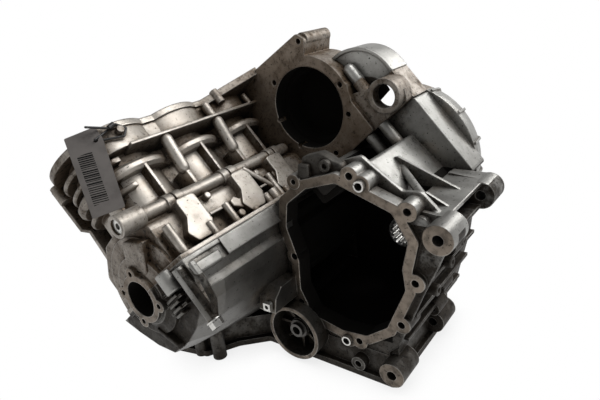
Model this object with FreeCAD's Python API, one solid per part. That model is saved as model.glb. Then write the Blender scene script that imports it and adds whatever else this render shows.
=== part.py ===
"""Crankcase of a three-cylinder engine: two main castings that meet on a tilted split plane.

X runs along the crankshaft from the open bearing end, Y to the front, Z up, in millimetres.
The centre of the crankshaft bore on the bearing end face is the origin.
A place on the castings is also given as x, s, h: s is the distance out along the split plane
towards the gearbox side, and h is the height above the split plane along the cylinders.
"""
import math
import os

import FreeCAD
import Part

Vector = FreeCAD.Vector

# Split plane and cylinder block
split_tilt = 41.1
cylinder_count = 3
bore_pitch = 87.0
first_bore_x = 68.0
bore_r = 38.0
barrel_r = 46.0
barrel_web = 30.0
jacket_r = 65.0
jacket_web = 55.0
deck_h = 179.0
deck_rim = 8.0
shelf_h = 147.0
shelf_s = 69.0
shelf_thick = 3.5
ring_r = 61.0
ring_h = 118.0
ring_thick = 13.0
fin_thick = 6.0
fin_r = 60.0
fin_reach = 30.0
fin_heights = (154.0, 137.0, 120.0, 103.0)
skirt_s = 68.0
skirt_h = 66.0
flange_s = 88.0
flange_rear_s = 96.0
flange_thick = 5.0
block_x = 18.0
wall = 7.0
chamber_r = 61.0
bearing_web = 18.0
journal_r = 24.0
pillar_r = 7.5
lug_r = 6.0
tag_lug_r = 4.5
lug_x = 62.0
lug_s = 70.0

# Crankshaft bearing end
crank_bore_r = 21.5
nose_r = 29.0
nose_x = 24.0
nose_hole_pitch_r = 30.0
nose_hole_r = 3.2
nose_hole_depth = 16.0
nose_lobe_r = 7.5
nose_angles = (0.0, 74.0, 180.0, 278.0)
end_boss_x = 6.0
end_boss_s = 57.0
end_boss_r = 7.0
end_boss_h = 8.0
long_boss_x = 10.0
long_boss_s = 78.0
long_boss_r = 6.5
long_boss_h = -66.0
bolt_r = 4.0
bolt_head_r = 7.5
bolt_head_h = 7.0

# Oil gallery tube beside the cylinders
gallery_s = 64.0
gallery_h = 66.0
gallery_r = 8.0
gallery_hole_r = 4.5
gallery_sleeve_r = 12.5
gallery_x0 = -10.0
gallery_sleeve_x = 20.0
gallery_collar_r = 10.0
plug_r = 8.5
plug_thick = 6.0
plug_hole_r = 3.5

# Rear casing
rear_x = 277.0
case_x = 297.0
back_x = 337.0
case_s = 248.0
case_wall = 6.0
big_bore_s = 132.0
big_bore_h = 81.0
big_bore_r = 54.0
big_step_r = 48.0
big_flange_r = 68.0
flange_hole_depth = 15.0
port_s = 232.0
port_h = 21.0
port_r = 14.5
port_boss_r = 21.0
arch_s = 193.0
arch_h = 51.0
arch_r = 56.0
arch_joint_h = 41.0
dome_s = 207.0
dome_r = 8.0
rear_port_s = 198.0
rear_port_h = 34.0
rear_port_r = 29.0
port_bend = ((201.0, 31.0), (172.0, 40.0))
bell_s = 159.0
bell_h = -46.0
bell_r = 101.0
bell_end_r = 87.0
bell_mouth_r = 78.0
bell_depth = 39.0
bell_wall = 6.0
bell_ribs = 15
needle_y = -158.0
needle_z = -30.0
needle_r = 22.0
needle_inner_r = 16.0
needle_x0 = 318.0
needle_wall = 5.0
needle_count = 16

# Gearbox opening and its flange
opening_x = 148.0
opening_rim = 11.0
opening_thick = 16.0
opening_lobe_r = 10.5
opening_lobe_x = 174.0
m8_hole_r = 4.1
m6_hole_r = 3.4
dowel_r = 6.0
dowel_hole_r = 4.2
dowel_depth = 10.0
dowel_proud = 5.0
roof_s = 215.0
roof_h = -31.0
roof_foot_s = 222.0
roof_foot_h = -105.0

# Base and engine mounts
base_z = -137.0
base_thick = 8.0
base_wall = 9.0
base_roof_z = -107.0
floor_z = -100.0
mount_y = -281.0
mount_z = 66.0
mount_r = 15.7
mount_hole_r = 5.6
mount_x0 = 138.0
mount_near = 38.0
far_mount_x = 258.0
far_mount = 34.0
low_mount_y = -228.0
low_mount_z = -111.0
low_mount_r = 15.0
low_near_x = 136.0
low_far_x = 250.0
low_mount = 40.0
web_thick = 4.0

# Oil filter seat
filter_x = 130.0
filter_y = -99.0
filter_z = -95.0
filter_r = 36.5
filter_lip = 5.0
filter_depth = 26.0
filter_ribs_count = 8
spigot_r = 9.0
spigot_hole_r = 5.5
spigot_length = 20.0

# Side plug and its boss on the crank trough
side_plug_x = 104.0
side_plug_y = -90.0
side_plug_z = -42.0
side_plug_size = 10.0

# Hanging tag and its tie
tag_x = 33.6
tag_s = 59.8
tag_h = 165.7
tag_hole_r = 2.5
tag_thick = 0.8
tie_thick = 1.3
tie_gap = 0.25

TILT = math.radians(split_tilt)
CYLINDERS = [first_bore_x + bore_pitch * index for index in range(cylinder_count)]
BLOCK_END = CYLINDERS[-1] + barrel_r
BELL_X = back_x + bell_depth

def yz(s, h):
    """Give the y and z of a place s out on the split plane and h above it."""
    return (-math.cos(TILT) * s + math.sin(TILT) * h, math.sin(TILT) * s + math.cos(TILT) * h)


def at(x, s, h):
    """Give the point at x along the crank, s along the split plane and h above it."""
    y, z = yz(s, h)
    return Vector(x, y, z)


def corner_path(points, radius):
    """Join points with straight lines and round each corner with an arc of the given radius."""
    count = len(points)
    edges = []
    starts = []
    ends = []
    for index in range(count):
        here = points[index]
        back = (points[index - 1] - here)
        ahead = (points[(index + 1) % count] - here)
        turn = math.pi - back.getAngle(ahead)
        trim = radius * math.tan(turn / 2.0)
        trim = min(trim, 0.45 * back.Length, 0.45 * ahead.Length)
        back.normalize()
        ahead.normalize()
        starts.append(here + back * trim)
        ends.append(here + ahead * trim)
        if trim > 0.05 and turn > 0.02:
            true_r = trim / math.tan(turn / 2.0)
            inward = (back + ahead)
            inward.normalize()
            reach = true_r / math.cos(turn / 2.0) - true_r
            middle = here + inward * reach
            edges.append(Part.Arc(starts[-1], middle, ends[-1]).toShape())
        else:
            starts[-1] = here
            ends[-1] = here
            edges.append(None)
    path = []
    for index in range(count):
        if edges[index] is not None:
            path.append(edges[index])
        following = (index + 1) % count
        if (starts[following] - ends[index]).Length > 0.01:
            path.append(Part.LineSegment(ends[index], starts[following]).toShape())
    return Part.Wire(path)


def prism(points, direction, radius=0.0):
    """Extrude a flat outline of points, with rounded corners, along a direction."""
    return Part.Face(corner_path(points, radius)).extrude(direction)


def plate_yz(points, x0, x1, radius=0.0):
    """Extrude an outline of (y, z) places from x0 to x1."""
    return prism([Vector(x0, y, z) for y, z in points], Vector(x1 - x0, 0, 0), radius)


def plate_sh(points, x0, x1, radius=0.0):
    """Extrude an outline of (s, h) places from x0 to x1."""
    return plate_yz([yz(s, h) for s, h in points], x0, x1, radius)


def side_plate(points, s0, s1, radius=0.0):
    """Extrude an outline of (x, h) places from s0 to s1."""
    outline = [at(x, s0, h) for x, h in points]
    return prism(outline, at(0, s1 - s0, 0), radius)


def slab(x0, x1, s0, s1, h0, h1, radius=0.0):
    """Make a block between two x, two s and two h values, with rounded long edges."""
    return plate_sh([(s0, h0), (s1, h0), (s1, h1), (s0, h1)], x0, x1, radius)


def rod(start, end, radius):
    """Make a round bar between two points."""
    axis = end - start
    return Part.makeCylinder(radius, axis.Length, start, axis)


def taper(start, end, radius, end_radius):
    """Make a cone frustum between two points."""
    axis = end - start
    return Part.makeCone(radius, end_radius, axis.Length, start, axis)


def level_plate(points, h0, h1, radius=0.0):
    """Extrude an outline of (x, s) places from height h0 to h1 above the split plane."""
    return prism([at(x, s, h0) for x, s in points], at(0, 0, h1) - at(0, 0, h0), radius)


def turned(profile, s, h):
    """Turn an outline of (x, radius) places round a line along x at s, h."""
    centre = at(0, s, h)
    outline = [centre + Vector(x, 0, radius) for x, radius in profile]
    face = Part.Face(Part.makePolygon(outline + outline[:1]))
    return face.revolve(centre, Vector(1, 0, 0), 360)


def pill(start, end, radius):
    """Make a round bar with ball ends."""
    bar = rod(start, end, radius)
    return bar.fuse([Part.makeSphere(radius, start), Part.makeSphere(radius, end)])


def build_up(body, parts):
    """Fuse a list of solids onto a body, one after the other."""
    for part in parts:
        body = body.fuse(part)
    return body


def carve(body, cuts):
    """Take a list of solids out of a body, one after the other."""
    for cut in cuts:
        body = body.cut(cut)
    return body


def join(solids):
    """Fuse a list of solids into one."""
    body = solids[0].fuse(solids[1:])
    return body.removeSplitter()


def offset_outline(points, amount):
    """Move each side of an outline of (y, z) places outwards by an amount."""
    area = sum(a[0] * b[1] - b[0] * a[1] for a, b in zip(points, points[1:] + points[:1]))
    side = 1.0 if area > 0 else -1.0
    moved = []
    count = len(points)
    for index in range(count):
        ay, az = points[index - 1]
        by, bz = points[index]
        cy, cz = points[(index + 1) % count]
        first = math.atan2(bz - az, by - ay)
        second = math.atan2(cz - bz, cy - by)
        half = math.remainder(second - first, 2 * math.pi) / 2.0
        normal = first + half - side * math.pi / 2.0
        reach = amount / math.cos(half)
        moved.append((by + reach * math.cos(normal), bz + reach * math.sin(normal)))
    return moved


# Outline of the gearbox opening, its bolt holes and its dowels, as (y, z) places
OPENING = [
    (-165, 104), (-229, 81), (-246, 52), (-239, 20), (-242, -4), (-219, -58), (-192, -78),
    (-160, -81), (-118, -72), (-104, -40), (-106, -2), (-93, 40), (-98, 70), (-126, 92),
]
FLANGE_HOLES = [
    (-111, 98), (-183, 114), (-246, 85), (-253, 7), (-236, -49), (-182, -89), (-103, -59), (-100, 3),
]
FLANGE_DOWELS = [(-196, 106), (-167, -91)]
OPENING_SKIRT = [
    (-150, 118), (-186, 130), (-199, 120), (-232, 97), (-252, 99), (-276, 76), (-262, 40), (-200, 40),
]

FRONT_PLATE = [
    (-236, 84), (-262, 78), (-284, 52), (-274, 25), (-258, -11), (-247, -40), (-238, -62), (-229, -84),
    (-217, -96), (-222, -112), (-234, -124), (-190, -124), (-140, -104), (-120, -60), (-230, 40),
]
SIDE_BOSSES = [(-240, -50), (-234, -82), (-254, 8)]

# Outline of the split flange, as (x, s) places
SPLIT_EDGE = [
    (24, -84), (8, -58), (8, 44), (1, 54), (8, 66), (block_x - 3, flange_s),
    (opening_x + 8, flange_rear_s), (rear_x, flange_rear_s), (rear_x, -84),
]

# Outline of the big flange plate and of the pad round the port, as (s, h) places
REAR_PLATE = [
    (-62, 0), (190, 0), (190, 50), (200, 64), (197, 80), (186, 100), (176, 130), (193, 144),
    (188, 158), (98, 174), (62, deck_h), (-62, deck_h),
]
PORT_PAD = [(180, 0), (246, 0), (252, 12), (250, 30), (222, 40), (196, 52), (180, 52)]
BIG_FLANGE_HOLES = [(184, 149), (114, 140), (82, 100), (83, 54), (123, 12), (175, 37), (192, 71)]

# Cross outlines of the crank trough, as (y, z) places for three stations along the crank
TROUGH = [
    (block_x - 4, [(-80, 42), (-80, 31), (-84, 25), (-80, 6), (-68, -22), (-50, -47), (-20, -73),
                   (8, -73), (40, -66)]),
    (block_x + 28, [(-80, 42), (-80, 31), (-87, 25), (-86, 8), (-76, -22), (-58, -54), (-20, -83),
                    (14, -86), (50, -76)]),
    (opening_x + 12, [(-80, 42), (-80, 31), (-87, 25), (-88, 10), (-84, -22), (-70, -56), (-26, -98),
                      (30, -104), (66, -88)]),
]


def two_sides(make):
    """Build the same pieces on the near side and on the far side of the block."""
    return make(1.0) + make(-1.0)


def whole_block():
    """Make the solid outside form of the cylinder block and crank skirt."""
    parts = []
    for x in CYLINDERS:
        parts.append(rod(at(x, 0, skirt_h - 12), at(x, 0, deck_h), barrel_r))
        parts.append(turned_ring(x, ring_h, ring_thick, ring_r))
        jacket = rod(at(x, 0, shelf_h), at(x, 0, deck_h - deck_rim), jacket_r - 2.5)
        if x == CYLINDERS[0]:
            jacket = jacket.common(slab(x - fin_reach, x + jacket_r, -90, 90, shelf_h - 1, deck_h))
        parts.append(jacket)
        parts.append(rod(at(x, 0, deck_h - deck_rim), at(x, 0, deck_h), jacket_r))
    middle = (CYLINDERS[0], rear_x + 4)
    parts.append(slab(*middle, -barrel_web, barrel_web, skirt_h - 12, deck_h - deck_rim))
    parts.append(slab(*middle, 3 - jacket_web, jacket_web - 3, shelf_h, deck_h - deck_rim + 1))
    parts.append(slab(*middle, -jacket_web, jacket_web, deck_h - deck_rim, deck_h))
    parts.append(slab(CYLINDERS[0] - 6, rear_x + 4, -shelf_s, shelf_s, shelf_h - shelf_thick, shelf_h))
    skirt = [(-skirt_s, 0), (skirt_s, 0), (skirt_s, skirt_h - 14), (barrel_web, skirt_h + 12),
             (-barrel_web, skirt_h + 12), (-skirt_s, skirt_h - 14)]
    parts.append(plate_sh(skirt, block_x, rear_x + 4, 8.0))
    parts.append(level_plate(SPLIT_EDGE, 0, flange_thick))
    return parts


def turned_ring(x, h, thick, radius):
    """Make the ring rib round one cylinder, with slanted upper and lower edges."""
    slant = thick * 0.3
    lower = taper(at(x, 0, h), at(x, 0, h + slant), radius - slant, radius)
    middle = rod(at(x, 0, h + slant), at(x, 0, h + thick - slant), radius)
    upper = taper(at(x, 0, h + thick - slant), at(x, 0, h + thick), radius, radius - slant)
    return lower.fuse([middle, upper])


def side_ribs(side):
    """Make the crown ribs and stud pillars on one side of the block."""
    parts = []
    for index, x in enumerate(CYLINDERS):
        crown = [(skirt_s - 8, skirt_h - 10), (skirt_s - 8, ring_h + 4), (20, ring_h + 4), (20, skirt_h - 10)]
        parts.append(plate_sh([(side * s, h) for s, h in crown], x - 2, x + 2))
        if index < cylinder_count - 1:
            between = x + bore_pitch / 2.0
            low = at(between, side * (skirt_s - 12), 100)
            high = at(between, side * (skirt_s - 6), 138)
            parts.append(pill(low, high, pillar_r))
            web = [(25, skirt_h - 4), (skirt_s - 8, skirt_h - 4), (skirt_s - 8, 100), (25, 100)]
            parts.append(plate_sh([(side * s, h) for s, h in web], between - 2.5, between + 2.5))
    return parts


def block_details():
    """Make the pads, bolt bosses, lugs and fins of the block."""
    parts = two_sides(side_ribs)
    boss_s = flange_s - 7.5
    for x in CYLINDERS[:2] + [CYLINDERS[2] - 20]:
        pad = [(x - 13, 60.5), (x + 13, 60.5), (x + 14, 24), (x + 6, 9), (x - 17, 9), (x - 24, 22), (x - 13, 38)]
        parts.append(side_plate(pad, skirt_s - 16, flange_s - 7, 4.0))
    for x, top, radius in ((27, 40, 5.0), (74, 22, 4.5), (108, 32, 4.5), (181, 20, 7.0), (192, 40, 4.5)):
        parts.append(rod(at(x, boss_s, 3), at(x, boss_s, top), radius))
        parts.append(slab(x - 2, x + 2, skirt_s - 6, flange_s - 9, 3, top - 2))
    for x in CYLINDERS[:2]:
        parts.append(slab(x + 16, x + 40, skirt_s - 6, flange_s - 8, 28, 31))
    slanted = [(166, 60), (170, 60), (193, 21), (188, 21)]
    parts.append(side_plate(slanted, skirt_s - 6, flange_s - 8))
    parts.append(slab(block_x, block_x + 4, 20, 46, skirt_h - 10, ring_h + 20, 1.0))
    for index, h in enumerate(fin_heights):
        ring = turned_ring(CYLINDERS[0], h, fin_thick, fin_r - index)
        parts.append(ring.common(slab(-20, CYLINDERS[0] - 18, -90, 52, h - 1, h + fin_thick + 1)))
    far_wall = [(18, deck_h - 1), (20, 118), (28, 112), (26, 56), (22, 20), (66, 20), (66, deck_h - 1)]
    parts.append(side_plate(far_wall, -62, -56))
    parts.append(slab(60, 66, -58, -38, 20, deck_h - 1))
    parts.append(rod(at(22, -49, deck_h - 24), at(22, -49, deck_h - 1), 9.0))
    corner = [(198, jacket_web), (rear_x + 4, 102), (rear_x + 4, jacket_web)]
    parts.append(level_plate(corner, deck_h - 11, deck_h - 1))
    parts.append(rod(at(199, 60, shelf_h - 1), at(199, 60, deck_h - 11), lug_r))
    parts.append(rod(at(222, 66, deck_h - 19), at(222, 66, deck_h + 1), lug_r))
    parts.append(rod(at(266, 66, shelf_h - 1), at(266, 66, shelf_h + 15), lug_r - 2))
    parts.append(rod(at(lug_x, 50, tag_h), at(lug_x, lug_s, tag_h), tag_lug_r))
    return parts


def gallery_line(x):
    """Give the point of the oil gallery's middle line at x."""
    return at(x, gallery_s, gallery_h)


def gallery():
    """Make the oil gallery tube with its thick sleeve and collars."""
    tube_end = rear_x - 12
    parts = [rod(gallery_line(gallery_sleeve_x - 4), gallery_line(tube_end), gallery_r)]
    parts.append(rod(gallery_line(gallery_x0), gallery_line(gallery_sleeve_x), gallery_sleeve_r))
    parts.append(Part.makeSphere(gallery_r, gallery_line(tube_end)))
    for x in CYLINDERS:
        parts.append(rod(gallery_line(x - 16), gallery_line(x - 6), gallery_collar_r))
        parts.append(rod(gallery_line(x - 3.5), gallery_line(x + 7), gallery_collar_r))
    inside = gallery_s - 2
    backing = [(inside, gallery_h - 14), (inside, gallery_h + 6), (40, gallery_h + 14), (40, gallery_h - 14)]
    parts.append(plate_sh(backing, block_x, tube_end))
    return parts


def nose_places():
    """Give the (y, z) places of the bolt holes round the crankshaft bore."""
    turns = [math.radians(angle) for angle in nose_angles]
    return [(nose_hole_pitch_r * math.cos(turn), nose_hole_pitch_r * math.sin(turn)) for turn in turns]


def nose():
    """Make the bearing end of the crank line: face, bolt lobes and widening housing."""
    parts = [rod(Vector(0, 0, 0), Vector(nose_x, 0, 0), nose_r)]
    parts.append(taper(Vector(5, 0, 0), Vector(nose_x, 0, 0), nose_r + 4, chamber_r + 4))
    parts.append(rod(Vector(8, 0, 0), Vector(nose_x, 0, 0), nose_r + 18))
    parts.append(rod(Vector(block_x - 4, 0, 0), Vector(nose_x + wall, 0, 0), chamber_r + wall))
    for y, z in nose_places():
        parts.append(rod(Vector(0, y, z), Vector(nose_x, y, z), nose_lobe_r))
    return parts


def nose_cuts():
    """Make the crank bore and the bolt holes of the bearing end."""
    cuts = [rod(Vector(-1, 0, 0), Vector(nose_x + wall + 2, 0, 0), crank_bore_r)]
    for y, z in nose_places():
        cuts.append(rod(Vector(-1, y, z), Vector(nose_hole_depth, y, z), nose_hole_r))
    return cuts


def chamber_spans():
    """Give the start and end along x of each crank chamber."""
    half = (bore_pitch - bearing_web) / 2.0
    return [(max(x - half, nose_x + wall), x + half) for x in CYLINDERS]


def chamber_cuts():
    """Make the round crank chambers and the bearing line between them."""
    cuts = [rod(Vector(x0, 0, 0), Vector(x1, 0, 0), chamber_r) for x0, x1 in chamber_spans()]
    cuts.append(rod(Vector(nose_x, 0, 0), Vector(back_x - 12, 0, 0), journal_r))
    return cuts


def above():
    """Make the space above the split plane."""
    return slab(-60, 460, -400, 500, 0, 500)


def below():
    """Make the space under the split plane."""
    return slab(-60, 460, -400, 500, -500, 0)


def rear_front():
    """Make the front of the rear part: big flange plate, port pad and bolt dome foot."""
    parts = [plate_sh(REAR_PLATE, rear_x, back_x, 5.0)]
    parts.append(rod(at(rear_x, big_bore_s, big_bore_h), at(back_x, big_bore_s, big_bore_h), big_flange_r))
    parts.append(plate_sh(PORT_PAD, rear_x + 6, case_x + 3, 5.0))
    parts.append(rod(at(rear_x - 6, port_s, port_h), at(case_x + 6, port_s, port_h), port_boss_r))
    parts.append(rod(at(case_x - 6, dome_s, arch_joint_h + 3), at(case_x - 6, dome_s, 60), dome_r))
    return parts


def rear_upper():
    """Make the rear part of the upper casting with the foot of the chain case."""
    foot = slab(case_x, back_x, arch_s - arch_r, case_s, 0, arch_joint_h)
    lug = rod(at(rear_x + 6, 186, 149), at(back_x, 186, 149), 9.0)
    return rear_front() + [foot, lug]


def rear_port():
    """Make the round opening at the back of the chain case, clear of the drum and the bell's root."""
    place = (rear_port_s, rear_port_h)
    return rod(at(case_x + case_wall, *place), at(back_x + 17, *place), rear_port_r)


def rear_upper_cuts():
    """Make the openings of the rear part of the upper casting."""
    bore = at(0, big_bore_s, big_bore_h)
    cuts = [rod(bore + Vector(rear_x - 1, 0, 0), bore + Vector(rear_x + 22, 0, 0), big_bore_r)]
    cuts.append(rod(bore + Vector(rear_x + 20, 0, 0), bore + Vector(back_x - 8, 0, 0), big_step_r))
    hollow = [(-50, -1), (60, -1), (60, deck_h + 1), (-50, deck_h + 1)]
    cuts.append(plate_sh(hollow, BLOCK_END + 2, back_x - 8, 12.0))
    port = (port_s, port_h)
    cuts.append(rod(at(rear_x - 8, *port), at(rear_x + 10, *port), port_r))
    cuts.append(rod(at(rear_x + 9, port_s - 7, port_h + 3), at(case_x + 8, port_s - 7, port_h + 3), port_r + 2))
    foot = (arch_s - arch_r + case_wall, case_s - case_wall)
    cuts.append(slab(case_x + case_wall, back_x - case_wall, *foot, -1, arch_joint_h + 1))
    cuts.append(rear_port())
    cuts.append(rod(at(back_x - 9, *port_bend[0]), at(BELL_X + 4, *port_bend[1]), port_r + 2))
    for s, h in BIG_FLANGE_HOLES:
        cuts.append(rod(at(rear_x - 1, s, h), at(rear_x + flange_hole_depth, s, h), m6_hole_r))
    return cuts


def bell():
    """Make the ribbed bell at the back, round its own centre."""
    form = [(back_x - 2, 0), (back_x - 2, bell_r), (back_x + 6, bell_r), (BELL_X - 12, bell_r - 4),
            (BELL_X - 4, bell_r - 9), (BELL_X, bell_end_r), (BELL_X, 0)]
    parts = [turned(form, bell_s, bell_h)]
    centre = at(0, bell_s, bell_h)
    for index in range(bell_ribs):
        turn = 2.0 * math.pi * index / bell_ribs
        out = at(0, math.cos(turn), math.sin(turn))
        across = at(0, -math.sin(turn), math.cos(turn))
        rib = [(back_x - 1, bell_r - 6), (back_x - 1, bell_r + 3), (BELL_X - 12, bell_r - 1),
               (BELL_X - 3, bell_r - 7), (BELL_X - 1, bell_end_r - 3)]
        outline = [centre + Vector(x, 0, 0) + out * radius - across * 1.5 for x, radius in rib]
        parts.append(prism(outline, across * 3.0))
    return parts


def bell_cut():
    """Make the hollow of the bell."""
    form = [(back_x, 0), (back_x, bell_r - bell_wall), (BELL_X - 12, bell_r - 4 - bell_wall),
            (BELL_X - 5, bell_mouth_r), (BELL_X + 1, bell_mouth_r), (BELL_X + 1, 0)]
    return turned(form, bell_s, bell_h)


def upper_crankcase():
    """Make the upper casting with its three cylinders."""
    body = build_up(join(whole_block()), [join(block_details()), join(gallery())] + rear_upper())
    body = build_up(body, [join(nose() + [end_boss()]), join(bell())]).common(above())
    cuts = [rod(at(x, 0, 0), at(x, 0, deck_h + 1), bore_r) for x in CYLINDERS]
    cuts += chamber_cuts() + nose_cuts() + rear_upper_cuts() + [bell_cut()]
    cuts.append(rod(gallery_line(gallery_x0 - 1), gallery_line(rear_x - 14), gallery_hole_r))
    cuts.append(rod(gallery_line(gallery_x0 - 1), gallery_line(gallery_x0 + plug_thick), plug_r))
    return carve(body, cuts)


def end_boss():
    """Make the short bolt boss beside the crank bore, across the split plane."""
    low = at(end_boss_x, end_boss_s, -end_boss_h)
    return rod(low, at(end_boss_x, end_boss_s, end_boss_h / 2.0), end_boss_r)


def arch_cover():
    """Make the arched cover over the chain case, open underneath."""
    low = arch_s - arch_r
    high = arch_s + arch_r
    lower = slab(case_x, back_x, low, high, arch_joint_h, arch_h)
    body = lower.fuse(rod(at(case_x, arch_s, arch_h), at(back_x, arch_s, arch_h), arch_r))
    body = body.common(slab(case_x - 1, back_x + 1, 0, 400, arch_joint_h, 400)).removeSplitter()
    inner_r = arch_r - case_wall
    hollow = rod(at(case_x + wall, arch_s, arch_h), at(back_x - case_wall, arch_s, arch_h), inner_r)
    recess = rod(at(case_x - 1, arch_s, arch_h), at(case_x + 2.5, arch_s, arch_h), arch_r - 4)
    foot = slab(case_x + wall, back_x - case_wall, low + case_wall, high - case_wall, arch_joint_h - 1, arch_h)
    dome = pill(at(case_x - 4, dome_s, 60), at(case_x - 4, dome_s, 78), dome_r)
    dome = dome.common(slab(case_x - 20, case_x + 3, 190, 220, 56, 100))
    return carve(carve(body, [hollow, recess, foot]).fuse(dome), rear_front() + [rear_port()])


def trough_outline(x, inset):
    """Give the cross outline of the crank trough at x, set in from its outer form."""
    before, after = TROUGH[0], TROUGH[1]
    if x > TROUGH[1][0]:
        before, after = TROUGH[1], TROUGH[2]
    share = min(max((x - before[0]) / (after[0] - before[0]), 0.0), 1.0)
    side = [yz(flange_s, 0)]
    for first, second in zip(before[1], after[1]):
        side.append(tuple(a + share * (b - a) for a, b in zip(first, second)))
    side.append(yz(-flange_s, 0))
    return offset_outline(side, -inset) if inset else side


def lower_trough(inset, x0, x1):
    """Make the crank trough of the lower casting, as straight lofts between its stations."""
    stations = [x0] + [x for x, outline in TROUGH if x0 < x < x1] + [x1]
    wires = []
    for x in stations:
        points = [Vector(x, y, z) for y, z in trough_outline(x, inset)]
        wires.append(Part.makePolygon(points + points[:1]))
    return Part.makeLoft(wires, True, True)


def gearbox_body(inset, x0, x1):
    """Make the gearbox part of the lower casting, inset from its outer form."""
    side = [yz(flange_s, 0), yz(150, 0), yz(150, roof_h), yz(roof_s, roof_h), yz(roof_foot_s, roof_foot_h),
            (-252, 50), (-244, -20), (-228, -90), (-228, floor_z), (84, floor_z), (84, -80), yz(-flange_s, 0)]
    outline = offset_outline(side, -inset) if inset else side
    return plate_yz(outline, x0, x1, 5.0)


def base_plate(low, high, inset):
    """Extrude the base outline between two heights, inset from its edge."""
    places = [(64, 84), (80, 10), (118, -14), (146, -44), (146, -228), (330, -228), (330, 84)]
    outline = offset_outline(places, -inset) if inset else places
    return prism([Vector(x, y, low) for x, y in outline], Vector(0, 0, high - low), 6.0)


def opening_flange():
    """Make the machined flange round the gearbox opening, with its bolt lobes and skirt."""
    rim = offset_outline(OPENING, opening_rim)
    parts = [plate_yz(rim, opening_x, opening_x + opening_thick, 8.0)]
    for y, z in FLANGE_HOLES + FLANGE_DOWELS:
        parts.append(rod(Vector(opening_x, y, z), Vector(opening_lobe_x, y, z), opening_lobe_r))
    parts.append(plate_yz(OPENING_SKIRT, opening_lobe_x - 6, opening_lobe_x - 1, 6.0))
    return parts


def bar_x(place, x0, length, radius):
    """Make a round bar along x at a (y, z) place."""
    return rod(Vector(x0, *place), Vector(x0 + length, *place), radius)


def mount_bars(extra, radius, low_radius):
    """Make the bars of the four mount bosses, longer at both ends by an extra length."""
    upper = (mount_y, mount_z)
    lower = (low_mount_y, low_mount_z)
    bars = [bar_x(upper, mount_x0 - extra, mount_near + 2 * extra, radius)]
    bars.append(bar_x(upper, far_mount_x - extra, far_mount + 2 * extra, radius))
    bars.append(bar_x(lower, low_near_x - extra, low_mount + 2 * extra, low_radius))
    bars.append(bar_x(lower, low_far_x - extra, low_mount + 2 * extra, low_radius))
    return bars


def mounts():
    """Make the four mount bosses, the webs between the upper pair and the gussets on them."""
    parts = mount_bars(0.0, mount_r, low_mount_r)
    for z in (mount_z + 11, mount_z - 15):
        web = [(-238, z), (mount_y, z), (mount_y, z + web_thick), (-238, z + web_thick)]
        parts.append(plate_yz(web, opening_x + 12, far_mount_x + far_mount))
    tie = [(-240, 44), (mount_y, mount_z - 14), (mount_y, mount_z + 14), (-240, 84)]
    parts.append(plate_yz(tie, opening_x + 12, opening_x + 17))
    parts.append(plate_yz(tie, far_mount_x + 12, far_mount_x + 18))
    long_gusset = [(217, -44), (221, -46), (258, -121), (224, -121), (216, -90)]
    parts.append(plate_sh(long_gusset, 231, 235))
    short_gusset = [(249, -94), (260, -121), (224, -121), (220, -92)]
    parts.append(plate_sh(short_gusset, 184, 188))
    parts.append(rod(at(237, 213, -54), at(166, 254, -119), 4.5))
    return parts


def front_plate():
    """Make the flat plate behind the gearbox flange, out to its curved free edge between the mounts."""
    return plate_yz(FRONT_PLATE, opening_x + 6, opening_x + 12, 6.0)


def side_brackets():
    """Make the ribs and the small holed bosses on the side wall of the gearbox case."""
    parts = []
    for z, reach in ((24, -262), (-10, -256), (-44, -248), (-78, -238)):
        rib = [(reach, z), (-220, z), (-220, z + web_thick), (reach, z + web_thick)]
        parts.append(plate_yz(rib, opening_x + 14, back_x - 20))
    for place in SIDE_BOSSES:
        parts.append(bar_x(place, 236, 28, 9.0))
    return parts


def filter_seat():
    """Make the round oil filter seat with its thin lip."""
    return bar_x((filter_y, filter_z), filter_x, opening_x + 30 - filter_x, filter_r)


def filter_ribs():
    """Make the ribs and the centre boss standing in the oil filter seat."""
    floor = filter_x + filter_depth
    parts = [bar_x((filter_y, filter_z), floor - 12, 14, spigot_r + 4)]
    for index in range(filter_ribs_count):
        angle = 2.0 * math.pi * index / filter_ribs_count
        out = Vector(0, math.cos(angle), math.sin(angle))
        across = Vector(0, -math.sin(angle), math.cos(angle)) * 1.5
        middle = Vector(floor - 8, filter_y, filter_z)
        ends = (spigot_r + 2, filter_r - filter_lip + 2)
        outline = [middle + out * ends[0] - across, middle + out * ends[1] - across,
                   middle + out * ends[1] + across, middle + out * ends[0] + across]
        parts.append(prism(outline, Vector(9, 0, 0)))
    return parts


def lower_details():
    """Make the pads, bosses and ribs on the outside of the lower casting."""
    parts = [slab(block_x - 1, block_x + 35, flange_s - 6, flange_s + 5, -22, -10, 2.0)]
    face = [(block_x + 45, flange_s - 6), (block_x + 45, flange_s + 4), (opening_x + 12, flange_rear_s),
            (opening_x + 12, flange_s - 6)]
    parts.append(level_plate(face, -21, -1))
    parts.append(rod(at(long_boss_x, long_boss_s, -4), at(long_boss_x, long_boss_s, long_boss_h), long_boss_r))
    parts.append(slab(long_boss_x, nose_x, long_boss_s - 12, long_boss_s, long_boss_h + 8, -2))
    for h in (-16.0, -26.0, -36.0):
        parts.append(slab(6, nose_x, 24, 62, h - 1.5, h + 1.5))
    bar = [(side_plug_x, side_plug_z - 9), (side_plug_x + 4, side_plug_z + 8), (side_plug_x + 16, side_plug_z + 18),
           (opening_x + 4, side_plug_z + 18), (opening_x + 4, side_plug_z - 9)]
    outline = [Vector(x, side_plug_y - 8, z) for x, z in bar]
    parts.append(prism(outline, Vector(0, 24, 0)))
    for x, s in ((285, 176), (285, 201)):
        parts.append(rod(at(x, s, roof_h - 2), at(x, s, 0), pillar_r))
    for x, y in ((84, 22), (90, -4)):
        parts.append(rod(Vector(x, y, base_z), Vector(x, y, -84), 9.0))
    parts.append(bar_x((-182, -117), opening_x - 6, 30, 9.0))
    return parts


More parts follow.
